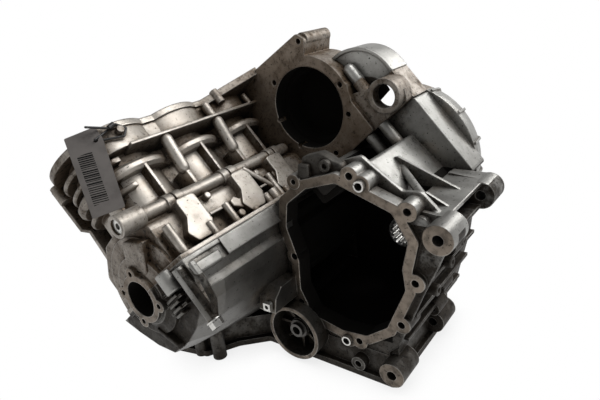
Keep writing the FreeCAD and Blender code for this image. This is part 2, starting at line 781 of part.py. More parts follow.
def lower_crankcase():
    """Make the lower casting: crank trough, gearbox case, base and mounts."""
    body = join([lower_trough(0, block_x - 4, opening_x + 12), gearbox_body(0, opening_x + 8, back_x)])
    parts = [slab(case_x, back_x, 140, case_s, -112, 0, 4.0)]
    parts.append(base_plate(base_z, base_z + base_thick, 0))
    parts.append(base_plate(base_z, floor_z + 1, wall))
    parts.append(level_plate(SPLIT_EDGE, -flange_thick, 0))
    parts += opening_flange() + [filter_seat(), front_plate()] + side_brackets() + mounts() + lower_details()
    body = build_up(body, parts)
    body = build_up(body, [join(nose() + [end_boss()]), join(bell())])
    needle = (needle_y, needle_z)
    body = body.fuse(bar_x(needle, needle_x0, BELL_X - needle_x0, needle_r + needle_wall)).common(below())
    cuts = nose_cuts() + chamber_cuts() + [bell_cut()]
    cuts += [lower_trough(wall, x0, x1) for x0, x1 in chamber_spans()]
    shell = gearbox_body(wall, opening_x + 22, back_x - 8)
    cuts.append(shell.cut(lower_trough(0, 0, back_x)))
    cuts.append(plate_yz(OPENING, opening_x - 1, opening_x + opening_thick + 8, 8.0))
    cuts.append(base_plate(base_z - 1, base_roof_z, wall + base_wall))
    cuts.append(slab(case_x + case_wall, back_x - case_wall, 150, case_s - case_wall, -105, 1))
    cuts.append(bar_x((filter_y, filter_z), filter_x - 1, filter_depth + 1, filter_r - filter_lip))
    for place in FLANGE_HOLES:
        cuts.append(bar_x(place, opening_x - 1, opening_thick + 7, m8_hole_r))
    for place in FLANGE_DOWELS:
        cuts.append(bar_x(place, opening_x - 1, dowel_depth + 1, dowel_r))
    for place in SIDE_BOSSES:
        cuts.append(bar_x(place, 235, 14, m6_hole_r))
    cuts.append(bar_x((-182, -117), opening_x - 7, 24, m8_hole_r))
    cuts.append(bar_x(needle, needle_x0 - 12, BELL_X - needle_x0 + 13, needle_r))
    cuts.append(rod(at(long_boss_x, long_boss_s, long_boss_h - 1), at(long_boss_x, long_boss_s, -10), bolt_r))
    cuts.append(bar_x((side_plug_y, side_plug_z), side_plug_x - 1, 9, side_plug_size * 0.4))
    cuts += mount_bars(1.0, mount_hole_r, mount_hole_r)
    low_line = low_far_x + low_mount - low_near_x
    cuts.append(bar_x((low_mount_y, low_mount_z), low_near_x - 1, low_line + 2, mount_hole_r))
    body = build_up(carve(body, cuts), filter_ribs())
    return carve(body, [bar_x((filter_y, filter_z), filter_x - 1, filter_depth + 14, spigot_r)])


def opening_dowels():
    """Make the two hollow dowels in the gearbox flange."""
    solids = []
    for place in FLANGE_DOWELS:
        length = dowel_depth + dowel_proud
        body = bar_x(place, opening_x - dowel_proud, length, dowel_r)
        solids.append(body.cut(bar_x(place, opening_x - dowel_proud - 1, length + 2, dowel_hole_r)))
    return Part.makeCompound(solids)


def gallery_plug():
    """Make the plug in the open end of the oil gallery, with its socket."""
    body = rod(gallery_line(gallery_x0 + 2), gallery_line(gallery_x0 + plug_thick), plug_r)
    return body.cut(rod(gallery_line(gallery_x0), gallery_line(gallery_x0 + 5), plug_hole_r))


def six_sided(centre, axis, radius, length):
    """Make a six-sided bar round an axis."""
    side = axis.cross(Vector(0.3, 0.9, 0.1))
    side.normalize()
    over = axis.cross(side)
    places = []
    for index in range(6):
        angle = math.pi * index / 3.0
        places.append(centre + side * (radius * math.cos(angle)) + over * (radius * math.sin(angle)))
    return prism(places, axis * length)


def side_plug():
    """Make the square plug in the boss on the crank trough."""
    half = side_plug_size / 2.0
    y, z = side_plug_y, side_plug_z
    head = plate_yz([(y - half, z - half), (y + half, z - half), (y + half, z + half), (y - half, z + half)],
                    side_plug_x - 5, side_plug_x, 1.0)
    body = head.fuse(bar_x((y, z), side_plug_x, 8, side_plug_size * 0.4))
    return body.cut(bar_x((y, z), side_plug_x - 6, 6, half * 0.5))


def case_bolt():
    """Make the hexagon bolt under the long boss beside the crank bore."""
    down = at(0, 0, -1)
    seat = at(long_boss_x, long_boss_s, long_boss_h)
    washer = rod(seat, seat + down * 1.5, bolt_head_r + 1)
    head = six_sided(seat + down * 1.5, down, bolt_head_r, bolt_head_h)
    return join([head, washer, rod(seat, at(long_boss_x, long_boss_s, -12), bolt_r)])


def filter_spigot():
    """Make the tube on which the oil filter screws."""
    place = (filter_y, filter_z)
    start = filter_x + filter_depth - spigot_length
    body = bar_x(place, start, spigot_length + 12, spigot_r)
    collar = bar_x(place, filter_x + filter_depth - 15, 3, spigot_r + 3)
    return body.fuse(collar).cut(bar_x(place, start - 1, spigot_length + 14, spigot_hole_r))


def needle_bearing():
    """Make the shell of the needle bearing with its ring of rollers."""
    place = (needle_y, needle_z)
    length = back_x - needle_x0
    body = bar_x(place, needle_x0, length, needle_r)
    body = body.cut(bar_x(place, needle_x0 - 1, length + 2, needle_r - 2.5))
    middle_r = (needle_inner_r + needle_r - 2.0) / 2.0
    rollers = []
    for index in range(needle_count):
        angle = 2.0 * math.pi * index / needle_count
        here = (needle_y + middle_r * math.cos(angle), needle_z + middle_r * math.sin(angle))
        rollers.append(bar_x(here, needle_x0 + 1, length - 2, (needle_r - 2.0 - needle_inner_r) / 2.0))
    return body.fuse(rollers)


def tag_axes():
    """Give the tag's direction across, its direction down and its outward direction."""
    across = at(27.5, 20.4, -7.1)
    across.normalize()
    out = at(-0.583, 0.809, 0.079)
    down = out.cross(across)
    if down.dot(at(0, 0, 1)) > 0:
        down = down * -1.0
    return across, down, out


def hang_tag():
    """Make the tag as a thin sheet with a cut corner and a hole for the tie."""
    across, down, out = tag_axes()
    hole = at(tag_x, tag_s, tag_h)
    outline = [(-30.5, -15.5), (4.5, -15.5), (7.5, 0), (1.5, 83), (-33.5, 81)]
    sheet = prism([hole + across * u + down * v for u, v in outline], out * tag_thick, 1.5)
    return sheet.cut(rod(hole - out * 2, hole + out * 3, tag_hole_r))


def tag_tie():
    """Make the closed loop of the tie through the tag and round the lug, with its head and tail."""
    across, down, out = tag_axes()
    hole = at(tag_x, tag_s, tag_h)
    reach = math.sqrt(2.0) * (tag_lug_r + tie_thick + tie_gap)
    loop_s = lug_s - 3
    around = [at(lug_x, loop_s, tag_h + reach), at(lug_x + reach, loop_s, tag_h), at(lug_x, loop_s, tag_h - reach)]
    path = [hole + out * 2.6] + around + [hole - out * 1.8]
    parts = [pill(first, second, tie_thick) for first, second in zip(path, path[1:] + path[:1])]
    head = at(lug_x - 12, loop_s + 2, tag_h + 5)
    parts.append(rod(head, head + at(7, 2, 2), 3.2))
    parts.append(pill(head, head + at(-22, -2, 10), tie_thick))
    return join(parts)


def save(shape, name):
    """Write one node to its STEP file."""
    shape.exportStep(os.path.join("parts", name + ".step"))


def main():
    """Build every node of the crankcase."""
    os.makedirs("parts", exist_ok=True)
    save(upper_crankcase(), "upper_crankcase")
    save(lower_crankcase(), "lower_crankcase")
    save(arch_cover(), "arch_cover")
    save(opening_dowels(), "opening_dowels")
    save(gallery_plug(), "gallery_plug")
    save(side_plug(), "side_plug")
    save(case_bolt(), "case_bolt")
    save(filter_spigot(), "filter_spigot")
    save(needle_bearing(), "needle_bearing")
    save(hang_tag(), "hang_tag")
    save(tag_tie(), "tag_tie")


main()
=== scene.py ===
"""Looks of the engine crankcase: cast and machined metal, small fittings, the tag and the stage."""

import math

import bmesh
import bpy
from mathutils import Matrix, Vector


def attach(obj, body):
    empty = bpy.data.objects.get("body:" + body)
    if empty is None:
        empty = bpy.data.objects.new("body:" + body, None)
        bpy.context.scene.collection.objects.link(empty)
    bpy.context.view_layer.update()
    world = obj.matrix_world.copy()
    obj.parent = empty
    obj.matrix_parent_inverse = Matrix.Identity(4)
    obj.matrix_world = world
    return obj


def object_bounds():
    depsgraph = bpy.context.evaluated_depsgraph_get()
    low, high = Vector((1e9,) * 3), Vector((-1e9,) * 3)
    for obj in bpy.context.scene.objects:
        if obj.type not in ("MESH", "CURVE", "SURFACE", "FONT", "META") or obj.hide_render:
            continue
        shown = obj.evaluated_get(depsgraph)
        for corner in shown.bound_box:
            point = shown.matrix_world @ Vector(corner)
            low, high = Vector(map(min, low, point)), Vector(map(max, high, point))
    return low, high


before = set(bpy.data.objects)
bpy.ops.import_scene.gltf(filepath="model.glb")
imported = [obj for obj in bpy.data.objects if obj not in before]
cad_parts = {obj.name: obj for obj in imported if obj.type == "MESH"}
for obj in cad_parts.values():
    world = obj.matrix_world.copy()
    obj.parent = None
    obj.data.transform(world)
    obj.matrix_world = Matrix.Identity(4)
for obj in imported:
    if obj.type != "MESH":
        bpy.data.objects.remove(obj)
CAD_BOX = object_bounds()

bl_info = {
    "name": "Crankcase looks",
    "version": (1, 0, 0),
    "blender": (4, 5, 0),
    "location": "View3D > Sidebar > Crankcase",
    "description": "Cast metal, small fittings, a hanging tag and a white stage for a crankcase",
    "category": "Object",
}

# Places on the castings in metres: faces by their x, the big bore and the port by s and h on the split
# plane, and the crank hollow by its middle, its radius and where it starts and ends
SPLIT_TILT = math.radians(41.1)
OPENING_X = 0.148
BIG_FLANGE_X = 0.277
FILTER_X = 0.130
MOUNT_X = 0.138
LOW_MOUNT_X = 0.136
BACK_X = 0.336
REAR_FACE_X = 0.3355
CYLINDER_STEP = 0.087
BIG_BORE = (0.132, 0.081)
BIG_BORE_RADIUS = 0.0545
PORT = (0.225, 0.024)
PORT_RADIUS = 0.0170
CRANK_HOLLOW = (0.0, 0.0, 0.0222, 0.0010, 0.30)
FACE_REACH = 0.0004

# The tag's hole and two directions of its sheet, by x, s and h
TAG_HOLE = (0.0336, 0.0598, 0.1657)
TAG_ACROSS = (27.5, 20.4, -7.1)
TAG_OUT = (-0.583, 0.809, 0.079)

# Finish of the metal, with the scale of each noise pattern
PATTERN = {"blotch": 22.0, "speck": 160.0, "fine": 700.0, "streak": 55.0, "mottle": 95.0, "pit": 330.0,
           "film": 34.0, "haze": 13.0, "crumb": 240.0}
POCKET_REACH = 0.022
# Colours of the panels' painted light and of the rubbed edges' bare metal and painted highlight
PANEL_LIGHT_COLOR = (0.80, 0.74, 0.66)
RUBBED_AND_HIGHLIGHT_COLOR = (0.62, 0.60, 0.56)
CAST_SPECULAR = 0.2
STEEL_EDGE = 0.0006
STEEL_ROUNDING = 0.0005
STEEL_REACH = 0.02
STEEL_GRAIN = 0.00005
STEEL_METALLIC = 0.9

# Small cast details
BEVEL_ANGLE = math.radians(35.0)
SHARP_ANGLE = math.radians(40.0)
BORE_DEPTH = 0.012

# Bars of the tag
BARS_PER_METRE = 400.0
BARS_ACROSS = (-0.0245, -0.0080)
BARS_DOWN = (0.010, 0.069)
TAG_SPECULAR = 0.25

# Camera and floor
CAMERA_LENS = 31.336
CAMERA_SENSOR = 36.0
CAMERA_PLACE = (-0.2750, -0.4497, 0.2928)
CAMERA_RIGHT = (0.58225, -0.80677, -0.10049)
CAMERA_UP = (0.35681, 0.14252, 0.92324)
CAMERA_BACK = (-0.73052, -0.57342, 0.37085)
FLOOR_MIDDLE = (0.15, -0.08)
FLOOR_GAP = 0.0004


class CrankcaseLooks(bpy.types.PropertyGroup):
    """Colours and amounts of the crankcase's materials."""
    block_color: bpy.props.FloatVectorProperty(
        name="Block colour", description="Bare cast metal of the cylinder block", subtype="COLOR",
        size=3, min=0.0, max=1.0, default=(0.47, 0.438, 0.395))
    case_color: bpy.props.FloatVectorProperty(
        name="Lower casting colour", description="Bare cast metal of the lower casting, darkened as painted shade of its down-facing walls", subtype="COLOR",
        size=3, min=0.0, max=1.0, default=(0.14, 0.135, 0.125))
    cover_color: bpy.props.FloatVectorProperty(
        name="Cover colour", description="Bare cast metal of the arched cover",
        subtype="COLOR", size=3, min=0.0, max=1.0, default=(0.38, 0.375, 0.355))
    machined_color: bpy.props.FloatVectorProperty(
        name="Machined colour", description="Machined flange faces", subtype="COLOR",
        size=3, min=0.0, max=1.0, default=(0.24, 0.20, 0.162))
    soiling_and_shade_color: bpy.props.FloatVectorProperty(
        name="Soiling and shade colour", description="Oil, soiling and painted shade in the pockets", subtype="COLOR",
        size=3, min=0.0, max=1.0, default=(0.095, 0.066, 0.042))
    dark_soiling_and_shade_color: bpy.props.FloatVectorProperty(
        name="Dark soiling and shade colour", description="Dark soiling and painted shade of the lower casting", subtype="COLOR",
        size=3, min=0.0, max=1.0, default=(0.030, 0.024, 0.018))
    tan_color: bpy.props.FloatVectorProperty(
        name="Tan colour", description="Baked oil film on the block", subtype="COLOR",
        size=3, min=0.0, max=1.0, default=(0.34, 0.25, 0.165))
    oil_and_hollow_shade_color: bpy.props.FloatVectorProperty(
        name="Oil and hollow shade colour", description="Oil-black pits and specks, and the painted shade of the hollows", subtype="COLOR",
        size=3, min=0.0, max=1.0, default=(0.006, 0.005, 0.004))
    soiling_and_shade_amount: bpy.props.FloatProperty(
        name="Soiling And Shade", description="Amount of oil, soiling and painted shade in the pockets", subtype="FACTOR",
        min=0.0, max=1.0, default=0.85)
    haze: bpy.props.FloatProperty(
        name="Haze", description="Amount of dull film in wide patches on the castings", subtype="FACTOR",
        min=0.0, max=1.0, default=0.35)
    edge_rubbing_and_highlight: bpy.props.FloatProperty(
        name="Edge rubbing and highlight", description="Amount of bare bright metal on the edges, partly painted highlight", subtype="FACTOR",
        min=0.0, max=1.0, default=0.55)
    grain: bpy.props.FloatProperty(
        name="Grain height", description="Height of the cast grain", unit="LENGTH",
        min=0.0, max=0.002, default=0.00025)
    edge_radius: bpy.props.FloatProperty(
        name="Edge radius", description="Rounding of the cast edges in the shading", unit="LENGTH",
        min=0.0, max=0.01, default=0.0024)


class CrankcaseDetails(bpy.types.PropertyGroup):
    """Sizes of the small cast details."""
    boss_radius: bpy.props.FloatProperty(
        name="Boss radius", description="Radius of the small round bosses on the block", unit="LENGTH",
        min=0.001, max=0.01, default=0.0048)
    corner_radius: bpy.props.FloatProperty(
        name="Corner radius", description="Rounding of the small cast details", unit="LENGTH",
        min=0.0, max=0.005, default=0.0014)


class CrankcaseTag(bpy.types.PropertyGroup):
    """Colours of the tag and its tie."""
    sheet_color: bpy.props.FloatVectorProperty(
        name="Tag colour", description="Colour of the tag's sheet", subtype="COLOR",
        size=3, min=0.0, max=1.0, default=(0.185, 0.17, 0.16))
    bar_color: bpy.props.FloatVectorProperty(
        name="Bar colour", description="Colour of the printed bars", subtype="COLOR",
        size=3, min=0.0, max=1.0, default=(0.003, 0.003, 0.003))
    tie_color: bpy.props.FloatVectorProperty(
        name="Tie colour", description="Colour of the tie", subtype="COLOR",
        size=3, min=0.0, max=1.0, default=(0.008, 0.008, 0.008))


class CrankcaseStage(bpy.types.PropertyGroup):
    """Light levels of the white stage."""
    fill: bpy.props.FloatProperty(
        name="Fill light", description="Level of the light from all round", min=0.0, max=5.0, default=0.29)
    key_power: bpy.props.FloatProperty(
        name="Key lamp", description="Power of the large lamp above", subtype="POWER", unit="POWER",
        min=0.0, max=200.0, default=9.2)
    rim_power: bpy.props.FloatProperty(
        name="Rim lamp", description="Power of the lamp behind the bell", subtype="POWER", unit="POWER",
        min=0.0, max=200.0, default=6.5)
    floor_size: bpy.props.FloatProperty(
        name="Floor size", description="Radius of the white floor", unit="LENGTH",
        min=0.5, max=10.0, default=3.0)


def add(tree, kind, values=None, **props):
    """Add a node, set its properties, and set or link its inputs."""
    made = tree.nodes.new(kind)
    for key, value in props.items():
        setattr(made, key, value)
    for key, value in (values or {}).items():
        target = made.inputs[key]
        if isinstance(value, bpy.types.NodeSocket):
            tree.links.new(value, target)
        else:
            target.default_value = value
    return made


def math_node(tree, operation, *values):
    """Add a math node and return its output."""
    return add(tree, "ShaderNodeMath", dict(enumerate(values)), operation=operation).outputs[0]


def smooth(tree, value, low, high):
    """Map a value smoothly from 0 at low to 1 at high."""
    made = add(tree, "ShaderNodeMapRange", {0: value, 1: low, 2: high, 3: 0.0, 4: 1.0},
               interpolation_type="SMOOTHSTEP", clamp=True)
    return made.outputs[0]


def mixed(tree, factor, first, second, blend="MIX"):
    """Mix two colours."""
    made = tree.nodes.new("ShaderNodeMix")
    made.data_type = "RGBA"
    made.blend_type = blend
    made.clamp_factor = True
    for socket, value in ((made.inputs[0], factor), (made.inputs[6], first), (made.inputs[7], second)):
        if isinstance(value, bpy.types.NodeSocket):
            tree.links.new(value, socket)
        elif isinstance(value, (int, float)):
            socket.default_value = value
        else:
            socket.default_value = tuple(value)[:3] + (1.0,)
    return made.outputs[2]


def split_place(x, s, h):
    """Give a direction or place from its x, its distance along the split plane and its height."""
    return Vector((x, -math.cos(SPLIT_TILT) * s + math.sin(SPLIT_TILT) * h,
                   math.sin(SPLIT_TILT) * s + math.cos(SPLIT_TILT) * h))


def split_mm(x, s, h):
    """Give a place in metres from millimetres on the split plane's own axes."""
    return split_place(x * 0.001, s * 0.001, h * 0.001)


def along(tree, place, origin, direction):
    """Give how far a place is from an origin along a direction."""
    shifted = add(tree, "ShaderNodeVectorMath", {0: place, 1: tuple(origin)}, operation="SUBTRACT").outputs[0]
    return add(tree, "ShaderNodeVectorMath", {0: shifted, 1: tuple(direction)},
               operation="DOT_PRODUCT").outputs["Value"]


def between(tree, value, low, high):
    """Give 1 where a value lies between two limits."""
    return math_node(tree, "MULTIPLY", math_node(tree, "GREATER_THAN", value, low),
                     math_node(tree, "LESS_THAN", value, high))


def noise(tree, place, scale, detail=3.0, rough=0.55):
    """Add a noise texture and return its value."""
    made = add(tree, "ShaderNodeTexNoise", {"Vector": place, "Scale": scale, "Detail": detail,
                                            "Roughness": rough})
    return made.outputs[0]


def opaque(color):
    """Give a colour with full cover."""
    return tuple(color) + (1.0,)


def joined(tree, mask, other):
    """Join two masks, where the first may still be missing."""
    return other if mask is None else math_node(tree, "MAXIMUM", mask, other)


def group_tree(name, inputs, outputs):
    """Start a node group with the given float and colour sockets."""
    tree = bpy.data.node_groups.new(name, "ShaderNodeTree")
    for label, kind, default in inputs:
        made = tree.interface.new_socket(label, in_out="INPUT", socket_type=kind)
        if default is not None:
            made.default_value = default
    for label, kind in outputs:
        tree.interface.new_socket(label, in_out="OUTPUT", socket_type=kind)
    return tree, tree.nodes.new("NodeGroupInput"), tree.nodes.new("NodeGroupOutput")


def cast_effects():
    """Build the shared group for grain, soiling and painted shade, black-painted hollows, painted light and
    rubbed edges with painted highlights.
    """
    if "Cast effects" in bpy.data.node_groups:
        return bpy.data.node_groups["Cast effects"]
    number, color = "NodeSocketFloat", "NodeSocketColor"
    tree, given, result = group_tree("Cast effects", [
        ("Base", color, (0.5, 0.5, 0.5, 1.0)), ("Machined Color", color, (0.3, 0.3, 0.3, 1.0)),
        ("Soiling And Shade Color", color, (0.1, 0.06, 0.03, 1.0)), ("Machined", number, 0.0),
        ("Soiling And Shade", number, 0.6), ("Rubbing And Highlight", number, 0.5), ("Edge Radius", number, 0.0015),
        ("Hollow Reach", number, 0.24), ("Inside", number, 0.0), ("Stain And Shade", number, 0.0),
        ("Oil And Hollow Shade Color", color, (0.01, 0.008, 0.006, 1.0)), ("Tan", number, 0.0),
        ("Tan Color", color, (0.30, 0.20, 0.115, 1.0)), ("Painted Light", number, 0.0), ("Haze", number, 0.0)],
        [("Color", color), ("Roughness", number), ("Metallic", number), ("Height", number)])
    place = add(tree, "ShaderNodeTexCoord").outputs["Object"]
    geometry = add(tree, "ShaderNodeNewGeometry")
    bevel = add(tree, "ShaderNodeBevel", {"Radius": given.outputs["Edge Radius"]}, samples=6)
    facing = add(tree, "ShaderNodeVectorMath", {0: bevel.outputs[0], 1: geometry.outputs["Normal"]},
                 operation="DOT_PRODUCT").outputs["Value"]
    edge = smooth(tree, facing, 0.985, 0.80)
    near = add(tree, "ShaderNodeAmbientOcclusion", {"Distance": POCKET_REACH}, samples=8).outputs["AO"]
    wide = add(tree, "ShaderNodeAmbientOcclusion", {"Distance": given.outputs["Hollow Reach"]},
               samples=8).outputs["AO"]
    blotch = noise(tree, place, PATTERN["blotch"], 4.0)
    speck = noise(tree, place, PATTERN["speck"], 3.0, 0.65)
    fine = noise(tree, place, PATTERN["fine"], 2.0, 0.6)
    streak = noise(tree, place, PATTERN["streak"], 5.0, 0.7)
    shade = math_node(tree, "MULTIPLY_ADD", blotch, 0.70, 0.65)
    shade = math_node(tree, "MULTIPLY_ADD", math_node(tree, "SUBTRACT", speck, 0.5), 0.22, shade)
    base = mixed(tree, given.outputs["Machined"], given.outputs["Base"], given.outputs["Machined Color"])
    combined = add(tree, "ShaderNodeCombineColor", {0: shade, 1: shade, 2: shade}).outputs[0]
    base = mixed(tree, 1.0, base, combined, "MULTIPLY")
    # Painted light brightens the listed panels
    base = mixed(tree, math_node(tree, "MULTIPLY", given.outputs["Painted Light"], 0.12), base, PANEL_LIGHT_COLOR)
    patch = smooth(tree, streak, 0.50, 0.68)
    # Pockets found by the near occlusion darken with soiling and with painted shade
    pocket = math_node(tree, "MULTIPLY_ADD", streak, -0.35, math_node(tree, "ADD", near, 0.17))
    pocket = smooth(tree, pocket, 0.92, 0.42)
    soiling_and_shade = math_node(tree, "MULTIPLY_ADD", patch, 0.22, math_node(tree, "MULTIPLY", pocket, 0.95))
    mottle = smooth(tree, noise(tree, place, PATTERN["mottle"], 5.0, 0.7), 0.46, 0.66)
    mottle = math_node(tree, "MULTIPLY", mottle, given.outputs["Machined"])
    soiling_and_shade = math_node(tree, "MULTIPLY_ADD", mottle, 0.45, soiling_and_shade)
    # The panels of painted light keep less of the soiling and painted shade
    outside_painted_light = math_node(tree, "MULTIPLY_ADD", given.outputs["Painted Light"], -0.8, 1.0)
    soiling_and_shade = math_node(tree, "MULTIPLY", soiling_and_shade, outside_painted_light)
    # Stains and painted shade from the given regions and stretches darken here, spread by the streaks
    spread = math_node(tree, "MULTIPLY_ADD", streak, 1.7, -0.25)
    stain = math_node(tree, "MULTIPLY", given.outputs["Stain And Shade"],
                      math_node(tree, "MULTIPLY_ADD", given.outputs["Machined"], -0.62, 1.0))
    soiling_and_shade = math_node(tree, "MULTIPLY_ADD", stain, spread, soiling_and_shade)
    soiling_and_shade = math_node(tree, "MULTIPLY", soiling_and_shade, given.outputs["Soiling And Shade"])
    soiling_and_shade = add(tree, "ShaderNodeClamp", {0: soiling_and_shade}).outputs[0]
    pits = smooth(tree, noise(tree, place, PATTERN["pit"], 2.0, 0.5), 0.66, 0.72)
    film = smooth(tree, noise(tree, place, PATTERN["film"], 5.0, 0.65), 0.44, 0.66)
    film = math_node(tree, "MULTIPLY", film, smooth(tree, near, 1.0, 0.62))
    film = math_node(tree, "MULTIPLY", film, given.outputs["Tan"])
    base = mixed(tree, film, base, given.outputs["Tan Color"])
    haze = smooth(tree, noise(tree, place, PATTERN["haze"], 4.0, 0.6), 0.40, 0.62)
    haze = math_node(tree, "MULTIPLY", haze, given.outputs["Haze"])
    base = mixed(tree, haze, base, given.outputs["Soiling And Shade Color"])
    base = mixed(tree, math_node(tree, "MULTIPLY", pits, 0.85), base, given.outputs["Oil And Hollow Shade Color"])
    # Soiling and painted shade take the darker colour here
    base = mixed(tree, soiling_and_shade, base, given.outputs["Soiling And Shade Color"])
    crumbs = smooth(tree, noise(tree, place, PATTERN["crumb"], 3.0, 0.6), 0.55, 0.63)
    crumbs = math_node(tree, "MULTIPLY", crumbs, math_node(tree, "MULTIPLY", soiling_and_shade, 0.85))
    base = mixed(tree, crumbs, base, given.outputs["Oil And Hollow Shade Color"])
    # Painted shade: hollows found by the wide occlusion or listed as inside turn near-black
    hollow = math_node(tree, "MAXIMUM", smooth(tree, wide, 0.20, 0.05), given.outputs["Inside"])
    base = mixed(tree, hollow, base, given.outputs["Oil And Hollow Shade Color"])
    # Rubbed bare metal on exposed edges, partly a painted highlight along them
    rubbed_and_highlit = math_node(tree, "MULTIPLY", edge, given.outputs["Rubbing And Highlight"])
    rubbed_and_highlit = math_node(tree, "MULTIPLY", rubbed_and_highlit, smooth(tree, blotch, 0.30, 0.62))
    rubbed_and_highlit = math_node(tree, "MULTIPLY", rubbed_and_highlit, smooth(tree, near, 0.35, 0.8))
    rubbed_and_highlit = math_node(tree, "MULTIPLY", rubbed_and_highlit, math_node(tree, "SUBTRACT", 1.0, given.outputs["Inside"]))
    base = mixed(tree, rubbed_and_highlit, base, RUBBED_AND_HIGHLIGHT_COLOR)
    rough = math_node(tree, "MULTIPLY_ADD", blotch, 0.24, 0.31)
    rough = math_node(tree, "MULTIPLY_ADD", soiling_and_shade, 0.18, rough)
    rough = math_node(tree, "MULTIPLY_ADD", rubbed_and_highlit, -0.12, rough)
    rough = math_node(tree, "MULTIPLY_ADD", hollow, 0.5, rough)
    metal = math_node(tree, "MULTIPLY_ADD", soiling_and_shade, -0.55, 0.85)
    metal = math_node(tree, "MULTIPLY", metal, math_node(tree, "SUBTRACT", 1.0, hollow))
    height = math_node(tree, "MULTIPLY_ADD", speck, 0.55, math_node(tree, "MULTIPLY", fine, 0.45))
    keep = math_node(tree, "MULTIPLY_ADD", given.outputs["Machined"], -0.85, 1.0)
    height = math_node(tree, "MULTIPLY", height, keep)
    for label, value in (("Color", base), ("Roughness", rough), ("Metallic", metal), ("Height", height)):
        tree.links.new(value, result.inputs[label])
    return tree


def round_region():
    """Build the group that gives 1 inside a round hollow along x."""
    if "Round region" in bpy.data.node_groups:
        return bpy.data.node_groups["Round region"]
    number = "NodeSocketFloat"
    tree, given, result = group_tree("Round region", [
        ("Place", "NodeSocketVector", None), ("Middle Y", number, 0.0), ("Middle Z", number, 0.0),
        ("Radius", number, 0.01), ("From X", number, 0.0), ("To X", number, 0.1)], [("Mask", number)])
    split = add(tree, "ShaderNodeSeparateXYZ", {0: given.outputs["Place"]})
    across = math_node(tree, "SUBTRACT", split.outputs[1], given.outputs["Middle Y"])
    rise = math_node(tree, "SUBTRACT", split.outputs[2], given.outputs["Middle Z"])
    far = math_node(tree, "SQRT", math_node(tree, "ADD", math_node(tree, "MULTIPLY", across, across),
                                            math_node(tree, "MULTIPLY", rise, rise)))
    mask = math_node(tree, "LESS_THAN", far, given.outputs["Radius"])
    mask = math_node(tree, "MULTIPLY", mask, between(tree, split.outputs[0], given.outputs["From X"],
                                                     given.outputs["To X"]))
    tree.links.new(mask, result.inputs["Mask"])
    return tree


def box_region():
    """Build the group that gives 1 inside a box-shaped hollow."""
    if "Box region" in bpy.data.node_groups:
        return bpy.data.node_groups["Box region"]
    tree, given, result = group_tree("Box region", [
        ("Place", "NodeSocketVector", None), ("Low", "NodeSocketVector", None),
        ("High", "NodeSocketVector", None)], [("Mask", "NodeSocketFloat")])
    sides = [add(tree, "ShaderNodeSeparateXYZ", {0: given.outputs[key]}) for key in ("Place", "Low", "High")]
    mask = None
    for index in range(3):
        value, low, high = (side.outputs[index] for side in sides)
        one = between(tree, value, low, high)
        mask = one if mask is None else math_node(tree, "MULTIPLY", mask, one)
    tree.links.new(mask, result.inputs["Mask"])
    return tree


def inside_mask(tree, place, hollows):
    """Give 1 in any of the listed hollows, round ones with five values and boxes with two corners."""
    mask = None
    for hollow in hollows:
        if len(hollow) == 2:
            made = add(tree, "ShaderNodeGroup", node_tree=box_region())
            values = {"Low": hollow[0], "High": hollow[1]}
        else:
            made = add(tree, "ShaderNodeGroup", node_tree=round_region())
            values = dict(zip(("Middle Y", "Middle Z", "Radius", "From X", "To X"), hollow))
        for key, value in values.items():
            made.inputs[key].default_value = value
        tree.links.new(place, made.inputs["Place"])
        one = made.outputs["Mask"]
        mask = joined(tree, mask, one)
    return mask


def split_axes(tree, place):
    """Give a place on the split plane's own axes: x, distance along the plane and height over it."""
    split = add(tree, "ShaderNodeSeparateXYZ", {0: place})
    reach = along(tree, place, (0.0, 0.0, 0.0), split_place(0.0, 1.0, 0.0))
    height = along(tree, place, (0.0, 0.0, 0.0), split_place(0.0, 0.0, 1.0))
    return add(tree, "ShaderNodeCombineXYZ", {0: split.outputs[0], 1: reach, 2: height}).outputs[0]


def plane_mask(tree, place, axis_value, facing):
    """Give the facing value at one x, and 0 elsewhere."""
    split = add(tree, "ShaderNodeSeparateXYZ", {0: place})
    gap = math_node(tree, "ABSOLUTE", math_node(tree, "SUBTRACT", split.outputs[0], axis_value))
    close = math_node(tree, "LESS_THAN", gap, FACE_REACH)
    return math_node(tree, "MULTIPLY", close, facing)


def new_material(name):
    """Make an empty node material and return its tree with the shader."""
    material = bpy.data.materials.new(name)
    material.use_nodes = True
    tree = material.node_tree
    tree.nodes.clear()
    shader = tree.nodes.new("ShaderNodeBsdfPrincipled")
    output = tree.nodes.new("ShaderNodeOutputMaterial")
    tree.links.new(shader.outputs[0], output.inputs[0])
    return material, tree, shader


